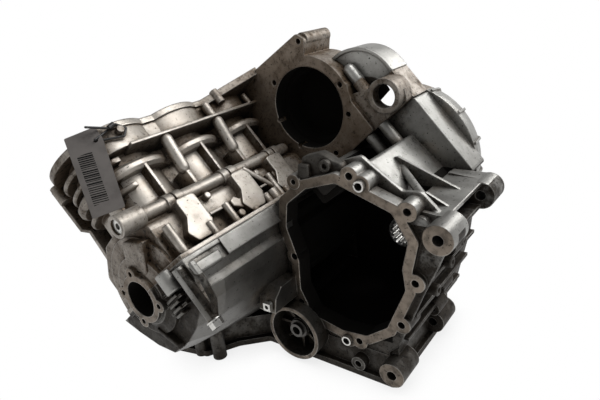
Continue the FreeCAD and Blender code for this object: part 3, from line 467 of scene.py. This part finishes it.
def cast_material(name, looks, base, machined_x, hollows=(), stains_and_shade=(), shade_regions=(), soiling_and_shade_amount=1.0, tan=0.0,
                  painted_top_light=None, painted_light_panels=(), shade_and_soot_regions=(), shade_region_level=1.0, brown=False):
    """Make one casting's metal, with machined faces, hollows painted black as shade, stains and painted
    shade.

    The x of each machined face is listed. Hollows and painted shade regions lie in the frame's axes, and
    painted light panels and painted shade and soot regions in the split plane's. A row of stains and shade
    holds a direction, where the darkening starts and ends along it and its level. The painted light row
    holds a direction, its two ends and the lighter colour past them.
    """
    material, tree, shader = new_material(name)
    place = add(tree, "ShaderNodeTexCoord").outputs["Object"]
    normal = add(tree, "ShaderNodeNewGeometry").outputs["True Normal"]
    split = add(tree, "ShaderNodeSeparateXYZ", {0: normal})
    facing = math_node(tree, "LESS_THAN", split.outputs[0], -0.98)
    machined = None
    for x in machined_x:
        machined = joined(tree, machined, plane_mask(tree, place, x, facing))
    effects = add(tree, "ShaderNodeGroup", node_tree=cast_effects())
    # Painted light: the base turns towards a lighter colour past the given height
    if painted_top_light:
        direction, low, high, color = painted_top_light
        rise = smooth(tree, along(tree, place, (0.0, 0.0, 0.0), direction), low, high)
        tree.links.new(mixed(tree, rise, base, color), effects.inputs["Base"])
    values = {"Base": opaque(base), "Machined Color": opaque(looks.machined_color),
              "Soiling And Shade Color": opaque(looks.soiling_and_shade_color if brown else looks.dark_soiling_and_shade_color),
              "Oil And Hollow Shade Color": opaque(looks.oil_and_hollow_shade_color), "Tan Color": opaque(looks.tan_color), "Tan": tan,
              "Haze": looks.haze, "Soiling And Shade": looks.soiling_and_shade_amount * soiling_and_shade_amount, "Rubbing And Highlight": looks.edge_rubbing_and_highlight,
              "Edge Radius": looks.edge_radius}
    for key, value in values.items():
        effects.inputs[key].default_value = value
    if machined is not None:
        tree.links.new(machined, effects.inputs["Machined"])
    if hollows:
        tree.links.new(inside_mask(tree, place, hollows), effects.inputs["Inside"])
    leaning = split_axes(tree, place)
    # Panels brightened by painted light, in the split plane's axes
    if painted_light_panels:
        tree.links.new(inside_mask(tree, leaning, painted_light_panels), effects.inputs["Painted Light"])
    stain = None
    # Regions of painted shade, in the frame's axes
    if shade_regions:
        stain = math_node(tree, "MULTIPLY", inside_mask(tree, place, shade_regions), shade_region_level)
    # Darker regions in the split plane's axes: painted shade, and soot
    if shade_and_soot_regions:
        stain = joined(tree, stain, inside_mask(tree, leaning, shade_and_soot_regions))
    # Stretches that darken along a direction: stains, and painted shade
    for direction, low, high, level in stains_and_shade:
        stretch = smooth(tree, along(tree, place, (0.0, 0.0, 0.0), direction), low, high)
        stain = joined(tree, stain, math_node(tree, "MULTIPLY", stretch, level))
    if stain is not None:
        tree.links.new(stain, effects.inputs["Stain And Shade"])
    soft = add(tree, "ShaderNodeBevel", {"Radius": looks.edge_radius}, samples=8)
    bump = add(tree, "ShaderNodeBump", {"Height": effects.outputs["Height"], "Normal": soft.outputs[0],
                                        "Distance": looks.grain, "Strength": 1.0})
    for label in ("Roughness", "Metallic"):
        tree.links.new(effects.outputs[label], shader.inputs[label])
    tree.links.new(effects.outputs["Color"], shader.inputs["Base Color"])
    tree.links.new(bump.outputs[0], shader.inputs["Normal"])
    shader.inputs["Specular IOR Level"].default_value = CAST_SPECULAR
    return material


def steel_material(name, looks, base, roughness):
    """Make the bare steel of the small fittings, with stains and painted shade, and rubbed edges with painted
    highlights.
    """
    material, tree, shader = new_material(name)
    effects = add(tree, "ShaderNodeGroup", node_tree=cast_effects())
    values = {"Base": opaque(base), "Soiling And Shade Color": opaque(looks.dark_soiling_and_shade_color),
              "Oil And Hollow Shade Color": opaque(looks.oil_and_hollow_shade_color), "Soiling And Shade": 0.5, "Rubbing And Highlight": looks.edge_rubbing_and_highlight,
              "Edge Radius": STEEL_EDGE, "Hollow Reach": STEEL_REACH}
    for key, value in values.items():
        effects.inputs[key].default_value = value
    soft = add(tree, "ShaderNodeBevel", {"Radius": STEEL_ROUNDING}, samples=6)
    bump = add(tree, "ShaderNodeBump", {"Height": effects.outputs["Height"], "Normal": soft.outputs[0],
                                        "Distance": STEEL_GRAIN, "Strength": 1.0})
    level = math_node(tree, "MULTIPLY", effects.outputs["Roughness"], roughness)
    tree.links.new(effects.outputs["Color"], shader.inputs["Base Color"])
    tree.links.new(level, shader.inputs["Roughness"])
    shader.inputs["Metallic"].default_value = STEEL_METALLIC
    tree.links.new(bump.outputs[0], shader.inputs["Normal"])
    return material


def dress(node, material):
    """Give one CAD node a material."""
    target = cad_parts[node]
    target.data.materials.clear()
    target.data.materials.append(material)


class CRANKCASE_OT_castings(bpy.types.Operator):
    """Give the three castings their cast and machined metal, and make the neck's."""
    bl_idname = "crankcase.castings"
    bl_label = "Dress castings"

    def execute(self, context):
        looks = context.scene.crankcase_looks
        faces = (0.0, OPENING_X, BIG_FLANGE_X, FILTER_X, MOUNT_X, LOW_MOUNT_X)
        bore = split_place(0.0, *BIG_BORE)
        port = split_place(0.0, *PORT)
        # The big bore, the port and the crank bore are painted near-black as the shade inside them
        block_hollows = ((bore.y, bore.z, BIG_BORE_RADIUS, 0.2776, BACK_X),
                         (port.y, port.z, PORT_RADIUS, 0.286, BACK_X), CRANK_HOLLOW)
        # Four boxes that together cover the hollow of the gearbox, painted near-black as the shade inside it
        case_hollows = (CRANK_HOLLOW, ((0.160, -0.222, -0.099), (BACK_X, -0.075, 0.060)),
                        ((0.160, -0.242, -0.030), (BACK_X, -0.075, 0.080)),
                        ((0.1488, -0.190, 0.0), (BACK_X, -0.094, 0.0945)),
                        ((0.1484, -0.222, -0.0812), (0.1612, -0.0938, 0.0945)))
        # Painted shade on stretches of the side wall and in the recess round the crank bore
        shade_regions = (((0.168, -0.300, -0.135), (0.340, -0.224, 0.048)),
                 ((0.0055, -0.120, -0.100), (0.0146, 0.060, 0.050)),
                 ((0.1500, -0.300, -0.100), (0.168, -0.240, 0.070)),
                 ((0.205, -0.330, -0.135), (0.340, -0.2535, 0.0795)))
        # A panel brightened by painted light and a web darkened by painted shade beside each cylinder, and
        # two dark
        # places at the end of the block: painted shade on its end face and a dark spot by the tag's hole
        steps = [index * CYLINDER_STEP for index in range(3)]
        panels = [((0.0410 + step, 0.036, 0.083), (0.0655 + step, 0.0595, 0.121)) for step in steps]
        shade_and_soot_regions = [((0.0657 + step, 0.030, 0.080), (0.0663 + step, 0.0598, 0.124)) for step in steps]
        shade_and_soot_regions += [((-0.001, -0.062, 0.098), (0.034, 0.030, 0.187)),
                  ((0.047, 0.067, 0.158), (0.070, 0.075, 0.175))]
        # Lighter colour painted on the lower casting's roof as light falling on its top
        roof_light_color = [channel * 0.84 for channel in looks.cover_color]
        # The block darkens as painted shade towards its -x end and round the crank axis at its nose
        dress("upper_crankcase", cast_material(
            "Block casting", looks, looks.block_color, faces, block_hollows,
            (((1.0, 0.0, 0.0), 0.15, 0.275, 1.0), ((-1.0, 0.0, 0.0), -0.050, -0.015, 0.45)),
            ((0.0, 0.0, 0.082, -0.001, 0.036),), tan=0.5, painted_light_panels=panels, shade_and_soot_regions=shade_and_soot_regions,
            shade_region_level=0.95, brown=True))
        # The lower casting's base is kept dark as painted shade of its down-facing walls, is painted lighter
        # towards the top, and grows darker towards the bottom
        dress("lower_crankcase", cast_material(
            "Lower casting", looks, looks.case_color, faces, case_hollows,
            (((0.35, 0.0, -0.94), 0.06, 0.15, 1.1),), shade_regions, shade_region_level=1.7, tan=0.35,
            painted_top_light=((0.0, 0.0, 1.0), 0.010, 0.048, roof_light_color)))
        cast_material("Neck casting", looks, [channel * 0.8 for channel in looks.case_color], (0.0,),
                      stains_and_shade=(((1.0, 0.0, 0.0), 0.05, 0.14, 0.7),), tan=0.4)
        dress("arch_cover", cast_material("Cover casting", looks, looks.cover_color, faces, soiling_and_shade_amount=0.5))
        return {"FINISHED"}


class CRANKCASE_OT_fittings(bpy.types.Operator):
    """Give the dowels, plugs, bolt, filter tube and bearing their steel."""
    bl_idname = "crankcase.fittings"
    bl_label = "Dress fittings"

    def execute(self, context):
        looks = context.scene.crankcase_looks
        bright = steel_material("Bright steel", looks, (0.62, 0.61, 0.58), 0.7)
        dark = steel_material("Dark steel", looks, (0.10, 0.095, 0.09), 1.0)
        for node in ("opening_dowels", "gallery_plug", "side_plug", "case_bolt", "needle_bearing"):
            dress(node, bright)
        dress("filter_spigot", dark)
        return {"FINISHED"}


def tag_material(tag):
    """Make the tag's sheet with rows of plain printed bars."""
    material, tree, shader = new_material("Tag sheet")
    place = add(tree, "ShaderNodeTexCoord").outputs["Object"]
    hole = split_place(*TAG_HOLE)
    across = split_place(*TAG_ACROSS).normalized()
    out = split_place(*TAG_OUT)
    down = out.cross(across)
    if down.z > 0:
        down = -down
    u = along(tree, place, hole, across)
    v = along(tree, place, hole, down)
    lean = math_node(tree, "MULTIPLY_ADD", v, 0.04, u)
    count = math_node(tree, "MULTIPLY", math_node(tree, "MULTIPLY_ADD", u, -0.17, v), BARS_PER_METRE)
    row = math_node(tree, "FLOOR", count)
    dice = add(tree, "ShaderNodeTexWhiteNoise", {"W": row}, noise_dimensions="1D").outputs["Value"]
    bars = math_node(tree, "LESS_THAN", math_node(tree, "FRACT", count),
                     math_node(tree, "MULTIPLY_ADD", dice, 0.50, 0.30))
    bars = math_node(tree, "MULTIPLY", bars, between(tree, lean, *BARS_ACROSS))
    bars = math_node(tree, "MULTIPLY", bars, between(tree, v, *BARS_DOWN))
    gloss = math_node(tree, "MULTIPLY_ADD", bars, 0.3, 0.55)
    stain = noise(tree, place, 60.0, 4.0)
    shade = mixed(tree, smooth(tree, stain, 0.35, 0.75), tag.sheet_color,
                  [channel * 0.72 for channel in tag.sheet_color])
    shade = mixed(tree, bars, shade, tag.bar_color)
    tree.links.new(shade, shader.inputs["Base Color"])
    tree.links.new(gloss, shader.inputs["Roughness"])
    shader.inputs["Specular IOR Level"].default_value = TAG_SPECULAR
    return material


def plain_material(name, color, roughness):
    """Make a plastic with faint marks."""
    material, tree, shader = new_material(name)
    place = add(tree, "ShaderNodeTexCoord").outputs["Object"]
    mark = noise(tree, place, 300.0)
    shade = mixed(tree, mark, color, [channel * 1.5 for channel in color])
    tree.links.new(shade, shader.inputs["Base Color"])
    shader.inputs["Roughness"].default_value = roughness
    return material


def finished_piece(name, shape, material, corner):
    """Turn a built shape into a rounded cast piece that rides on the crankcase."""
    bmesh.ops.recalc_face_normals(shape, faces=shape.faces)
    mesh = bpy.data.meshes.new(name)
    shape.to_mesh(mesh)
    shape.free()
    piece = bpy.data.objects.new(name, mesh)
    bpy.context.collection.objects.link(piece)
    mesh.materials.append(material)
    if corner > 0.0:
        rounding = piece.modifiers.new("Rounding", "BEVEL")
        rounding.width = corner
        rounding.segments = 3
        rounding.limit_method = "ANGLE"
        rounding.angle_limit = BEVEL_ANGLE
    mesh.shade_smooth()
    mesh.set_sharp_from_angle(angle=SHARP_ANGLE)
    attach(piece, "root")
    return piece


def cast_prism(name, outline, depth, material, slot, corner):
    """Make a piece by sweeping a closed outline along a depth vector."""
    shape = bmesh.new()
    base = shape.faces.new([shape.verts.new(point) for point in outline])
    swept = bmesh.ops.extrude_face_region(shape, geom=[base])
    moved = [item for item in swept["geom"] if isinstance(item, bmesh.types.BMVert)]
    bmesh.ops.translate(shape, verts=moved, vec=depth)
    return finished_piece(name, shape, material, corner)


def cast_bar(name, start, end, radius, material, slot, corner, bore=0.0, sides=24):
    """Make a round bar between two places, with a blind hole in its end where a bore is given."""
    way = (end - start).normalized()
    side = way.orthogonal().normalized()
    other = way.cross(side)
    profile = [(start, radius), (end, radius)]
    if bore > 0.0:
        profile += [(end, bore), (end - way * min(BORE_DEPTH, (end - start).length * 0.8), bore)]
    shape = bmesh.new()
    turns = [2.0 * math.pi * index / sides for index in range(sides)]
    rings = []
    for place, reach in profile:
        rings.append([shape.verts.new(place + side * math.cos(turn) * reach + other * math.sin(turn) * reach)
                      for turn in turns])
    for first, second in zip(rings, rings[1:]):
        for index in range(sides):
            after = (index + 1) % sides
            shape.faces.new((first[index], first[after], second[after], second[index]))
    shape.faces.new(rings[0])
    shape.faces.new(rings[-1])
    return finished_piece(name, shape, material, corner)


def upright(x, outline):
    """Give places at one x from pairs of y and z."""
    return [Vector((x, y, z)) for y, z in outline]


def forward(length):
    """Give a vector of one length along x."""
    return Vector((length, 0.0, 0.0))


class CRANKCASE_OT_block_bosses(bpy.types.Operator):
    """Add the small round bosses and the hook between the oil gallery and the split flange."""
    bl_idname = "crankcase.block_bosses"
    bl_label = "Add block bosses"

    def execute(self, context):
        details = context.scene.crankcase_details
        metal = bpy.data.materials["Block casting"]
        look = (metal, "block_casting", details.corner_radius)
        radius = details.boss_radius
        for index, (x, h, share, bore) in enumerate((
                (100, 51, 0.9, 0.0), (185, 49, 0.85, 0.0), (195, 35, 1.4, 0.0028), (213, 36, 1.5, 0.003),
                (60, 36, 1.0, 0.0026), (126, 14, 1.0, 0.0))):
            cast_bar("block_boss_%d" % (index + 1), split_mm(x, 58, h), split_mm(x, 77, h), radius * share,
                     *look, bore=bore)
        for index, (x, top) in enumerate(((170, 20), (206, 16), (143, 12))):
            cast_bar("flange_boss_%d" % (index + 1), split_mm(x, 78, 1), split_mm(x, 78, top), radius * 1.1,
                     *look)
        cast_bar("slanted_rib", split_mm(165, 79, 61), split_mm(191, 79, 22), radius * 0.75, *look)
        hook = [(120, 33), (128, 36), (134, 30), (146, 31), (146, 20), (131, 18), (120, 25)]
        cast_prism("block_hook", [split_mm(x, 60, h) for x, h in hook], split_mm(0, 18, 0), *look)
        return {"FINISHED"}


class CRANKCASE_OT_nose_ribs(bpy.types.Operator):
    """Add the box rib, the lug, the layered fins and the curved rim round the crank bore."""
    bl_idname = "crankcase.nose_ribs"
    bl_label = "Add nose ribs"

    def execute(self, context):
        corner = context.scene.crankcase_details.corner_radius
        block = (bpy.data.materials["Block casting"], "block_casting", corner * 1.6)
        case = (bpy.data.materials["Lower casting"], "case_casting", corner)
        pillar = [(-0.014, 0.030), (0.020, 0.027), (0.018, 0.063), (-0.016, 0.070)]
        cast_prism("nose_pillar", upright(0.005, pillar), forward(0.015), *block)
        # The lug takes the lighter cover metal as a painted highlight
        cast_bar("nose_lug", split_mm(7, 57, -20), split_mm(7, 57, 3.5), 0.0100,
                 bpy.data.materials["Cover casting"], "case_casting", corner)
        for index in range(4):
            h = -25 - 6 * index
            layer = [(3.5, 33), (3.5, 57 - 3 * index), (21, 57 - 3 * index), (21, 33)]
            cast_prism("nose_fin_%d" % (index + 1), [split_mm(x, s, h) for x, s in layer],
                       split_mm(0, 0, 3.2), case[0], case[1], corner * 0.6)
        rib = [(-0.008, -0.038), (-0.040, -0.050), (-0.042, -0.056), (-0.008, -0.044)]
        cast_prism("nose_rib", upright(0.006, rib), forward(0.014), *case)
        rim = [(103, -8), (103, -30), (97, -52), (70, -76), (66, -72), (92, -50), (98, -29), (98, -8)]
        cast_prism("trough_rim", [split_mm(9, s, h) for s, h in rim], forward(0.007), *case)
        return {"FINISHED"}


class CRANKCASE_OT_neck(bpy.types.Operator):
    """Add the neck over the gearbox opening, its bosses, the port's web and the lugs on the side wall."""
    bl_idname = "crankcase.neck"
    bl_label = "Add neck and side lugs"

    def execute(self, context):
        corner = context.scene.crankcase_details.corner_radius
        case = (bpy.data.materials["Lower casting"], "case_casting")
        neck = bpy.data.materials["Neck casting"]
        outline = [(-0.1150, 0.0960), (-0.1190, 0.1255), (-0.1420, 0.1322), (-0.1519, 0.1290),
                   (-0.1578, 0.1252), (-0.1687, 0.1228), (-0.1735, 0.1172), (-0.1660, 0.0985),
                   (-0.1400, 0.0960)]
        cast_prism("neck_body", upright(0.1560, outline), forward(0.0150),
                   neck, "case_casting", corner * 2.0)
        step = [(-0.1150, 0.0965), (-0.1170, 0.1190), (-0.1310, 0.1195), (-0.1330, 0.0965)]
        cast_prism("neck_step", upright(0.1500, step), forward(0.010), neck, "case_casting", corner * 1.4)
        cast_bar("neck_boss", Vector((0.1600, -0.1511, 0.1195)), Vector((0.1515, -0.1511, 0.1195)), 0.0072,
                 neck, "case_casting", corner * 0.7, bore=0.0030)
        cast_bar("corner_boss", Vector((0.1700, -0.1109, 0.0984)), Vector((0.14775, -0.1109, 0.0984)), 0.0088,
                 *case, 0.0, bore=0.0030, sides=48)
        middle = Vector((0.2990, -0.1269, 0.1558))
        reach = 0.0305
        turns = [math.radians(45.0 + turn) for turn in range(-108, 109, 9)]
        web = [middle + Vector((0.0, math.cos(turn), math.sin(turn))) * reach for turn in turns]
        cast_prism("port_web", web, forward(0.0032), neck, "case_casting", 0.0)
        for index, (x, z) in enumerate(((0.226, -0.005), (0.186, -0.019), (0.262, 0.006))):
            cast_bar("side_lug_%d" % (index + 1), Vector((x, -0.240, z)), Vector((x, -0.263, z)), 0.0068,
                     *case, corner, bore=0.0026)
        return {"FINISHED"}


class CRANKCASE_OT_rear_ribs(bpy.types.Operator):
    """Add the stiffening ribs and screw bosses of the rear end face."""
    bl_idname = "crankcase.rear_ribs"
    bl_label = "Add rear ribs"

    def execute(self, context):
        details = context.scene.crankcase_details
        block = (bpy.data.materials["Block casting"], "block_casting")
        case = (bpy.data.materials["Lower casting"], "case_casting")
        strips = (((0.036, 0.193), (0.141, 0.100), block), ((0.141, 0.090), (0.077, 0.014), block),
                  ((0.040, 0.030), (0.124, 0.088), block), ((0.026, 0.060), (0.090, 0.133), block),
                  ((0.010, 0.090), (0.034, 0.186), block), ((-0.058, -0.048), (0.040, -0.048), case),
                  ((-0.050, -0.050), (-0.050, -0.104), case), ((-0.008, -0.050), (-0.008, -0.104), case),
                  ((0.034, -0.050), (0.034, -0.104), case))
        half_width = 0.0028
        for index, (start, end, look) in enumerate(strips):
            way = (Vector(end) - Vector(start)).normalized()
            side = Vector((-way.y, way.x)) * half_width
            outline = [Vector(start) + side, Vector(start) - side, Vector(end) - side, Vector(end) + side]
            cast_prism("rear_rib_%d" % (index + 1), upright(REAR_FACE_X, outline), forward(0.008), *look,
                       details.corner_radius)
        for index, (y, z) in enumerate(((0.030, 0.190), (0.086, 0.142), (0.139, 0.094), (0.107, 0.052),
                                        (0.076, 0.014))):
            start = Vector((REAR_FACE_X, y, z))
            cast_bar("rear_boss_%d" % (index + 1), start, start + forward(0.010), 0.0085, *block,
                     details.corner_radius * 0.7, bore=0.0034)
        return {"FINISHED"}


class CRANKCASE_OT_tag(bpy.types.Operator):
    """Give the tag its printed sheet and the tie its plastic."""
    bl_idname = "crankcase.tag"
    bl_label = "Dress tag"

    def execute(self, context):
        tag = context.scene.crankcase_tag
        dress("hang_tag", tag_material(tag))
        dress("tag_tie", plain_material("Tie plastic", tag.tie_color, 0.4))
        return {"FINISHED"}


def aim(place, target):
    """Give the matrix of a lamp at a place that looks at a target."""
    back = (Vector(place) - Vector(target)).normalized()
    turn = back.to_track_quat("Z", "Y")
    return Matrix.Translation(place) @ turn.to_matrix().to_4x4()


def area_lamp(name, place, target, size, power):
    """Add a round soft lamp that the camera doesn't see."""
    data = bpy.data.lights.new(name, "AREA")
    data.shape = "DISK"
    data.size = size
    data.energy = power
    lamp = bpy.data.objects.new(name, data)
    bpy.context.collection.objects.link(lamp)
    lamp.matrix_world = aim(place, target)
    lamp.visible_camera = False


def seen_white(tree):
    """Give 1 for rays that see the backdrop directly, in a mirror or through glass."""
    path = add(tree, "ShaderNodeLightPath")
    seen = math_node(tree, "MAXIMUM", path.outputs["Is Camera Ray"], path.outputs["Is Glossy Ray"])
    return math_node(tree, "MAXIMUM", seen, path.outputs["Is Transmission Ray"])


def white_world(level):
    """Make the world white for the camera and low mirrored rays, and a soft dome for all others."""
    world = bpy.data.worlds.new("Stage world")
    bpy.context.scene.world = world
    world.use_nodes = True
    tree = world.node_tree
    tree.nodes.clear()
    place = add(tree, "ShaderNodeTexCoord").outputs["Generated"]
    height = add(tree, "ShaderNodeSeparateXYZ", {0: place}).outputs[2]
    rise = smooth(tree, height, -0.2, 0.95)
    dome = mixed(tree, rise, (0.22, 0.22, 0.23), (1.0, 1.0, 1.0))
    soft = add(tree, "ShaderNodeBackground", {0: dome, 1: level})
    white = add(tree, "ShaderNodeBackground", {0: (1.0, 1.0, 1.0, 1.0), 1: 1.0})
    path = add(tree, "ShaderNodeLightPath")
    mirrored = math_node(tree, "MAXIMUM", path.outputs["Is Glossy Ray"], path.outputs["Is Transmission Ray"])
    mirrored = math_node(tree, "MULTIPLY", mirrored, smooth(tree, height, 0.45, 0.15))
    seen = math_node(tree, "MAXIMUM", path.outputs["Is Camera Ray"], mirrored)
    both = add(tree, "ShaderNodeMixShader", {0: seen, 1: soft.outputs[0], 2: white.outputs[0]})
    output = tree.nodes.new("ShaderNodeOutputWorld")
    tree.links.new(both.outputs[0], output.inputs[0])


def white_floor(size, height):
    """Add the white floor, with a painted shadow right under the object."""
    bpy.ops.mesh.primitive_circle_add(vertices=64, radius=size, fill_type="NGON",
                                      location=(*FLOOR_MIDDLE, height))
    floor = bpy.context.object
    floor.name = "stage_floor"
    material = bpy.data.materials.new("Stage floor")
    material.use_nodes = True
    tree = material.node_tree
    tree.nodes.clear()
    # Painted shadow: the floor's glow turns grey close under the object
    near = add(tree, "ShaderNodeAmbientOcclusion", {"Distance": 0.06}, samples=8).outputs["AO"]
    shade = mixed(tree, smooth(tree, near, 0.10, 0.85), (0.80, 0.80, 0.80), (1.0, 1.0, 1.0))
    glow = add(tree, "ShaderNodeEmission", {0: shade, 1: 1.0})
    paint = add(tree, "ShaderNodeBsdfDiffuse", {0: (0.45, 0.45, 0.45, 1.0)})
    both = add(tree, "ShaderNodeMixShader", {0: seen_white(tree), 1: paint.outputs[0], 2: glow.outputs[0]})
    output = tree.nodes.new("ShaderNodeOutputMaterial")
    tree.links.new(both.outputs[0], output.inputs[0])
    floor.data.materials.append(material)


class CRANKCASE_OT_stage(bpy.types.Operator):
    """Add the camera, the lamps and the white surroundings."""
    bl_idname = "crankcase.stage"
    bl_label = "Add stage"

    def execute(self, context):
        stage = context.scene.crankcase_stage
        data = bpy.data.cameras.new("Camera")
        data.lens = CAMERA_LENS
        data.sensor_width = CAMERA_SENSOR
        data.clip_end = 50.0
        camera = bpy.data.objects.new("Camera", data)
        context.collection.objects.link(camera)
        turn = Matrix((CAMERA_RIGHT, CAMERA_UP, CAMERA_BACK)).transposed().to_4x4()
        camera.matrix_world = Matrix.Translation(CAMERA_PLACE) @ turn
        context.scene.camera = camera
        context.scene.view_settings.view_transform = "Standard"
        white_world(stage.fill)
        area_lamp("Key lamp", (0.40, -0.50, 1.05), (0.15, -0.05, 0.05), 0.8, stage.key_power)
        area_lamp("Rim lamp", (1.10, -0.62, 0.80), (0.18, -0.08, 0.05), 0.6, stage.rim_power)
        white_floor(stage.floor_size, CAD_BOX[0][2] - FLOOR_GAP)
        return {"FINISHED"}


class CRANKCASE_PT_panel(bpy.types.Panel):
    """List the crankcase's settings and steps."""
    bl_idname = "CRANKCASE_PT_panel"
    bl_label = "Crankcase"
    bl_space_type = "VIEW_3D"
    bl_region_type = "UI"
    bl_category = "Crankcase"

    def draw(self, context):
        layout = self.layout
        scene = context.scene
        for group in (scene.crankcase_looks, scene.crankcase_details, scene.crankcase_tag,
                      scene.crankcase_stage):
            box = layout.box()
            for name in group.__annotations__:
                box.prop(group, name)
        for operator in OPERATORS:
            layout.operator(operator.bl_idname)


GROUPS = (
    ("crankcase_looks", CrankcaseLooks),
    ("crankcase_details", CrankcaseDetails),
    ("crankcase_tag", CrankcaseTag),
    ("crankcase_stage", CrankcaseStage),
)
OPERATORS = (
    CRANKCASE_OT_castings,
    CRANKCASE_OT_block_bosses,
    CRANKCASE_OT_nose_ribs,
    CRANKCASE_OT_neck,
    CRANKCASE_OT_rear_ribs,
    CRANKCASE_OT_fittings,
    CRANKCASE_OT_tag,
    CRANKCASE_OT_stage,
)


def register():
    """Register the settings, the steps and the panel."""
    for name, group in GROUPS:
        bpy.utils.register_class(group)
        setattr(bpy.types.Scene, name, bpy.props.PointerProperty(type=group))
    for operator in OPERATORS:
        bpy.utils.register_class(operator)
    bpy.utils.register_class(CRANKCASE_PT_panel)


def unregister():
    """Take the settings, the steps and the panel away again."""
    bpy.utils.unregister_class(CRANKCASE_PT_panel)
    for operator in reversed(OPERATORS):
        bpy.utils.unregister_class(operator)
    for name, group in reversed(GROUPS):
        delattr(bpy.types.Scene, name)
        bpy.utils.unregister_class(group)


def main():
    """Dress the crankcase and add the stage."""
    register()
    bpy.ops.crankcase.castings()
    bpy.ops.crankcase.block_bosses()
    bpy.ops.crankcase.nose_ribs()
    bpy.ops.crankcase.neck()
    bpy.ops.crankcase.rear_ribs()
    bpy.ops.crankcase.fittings()
    bpy.ops.crankcase.tag()
    bpy.ops.crankcase.stage()


if __name__ == "__main__":
    main()
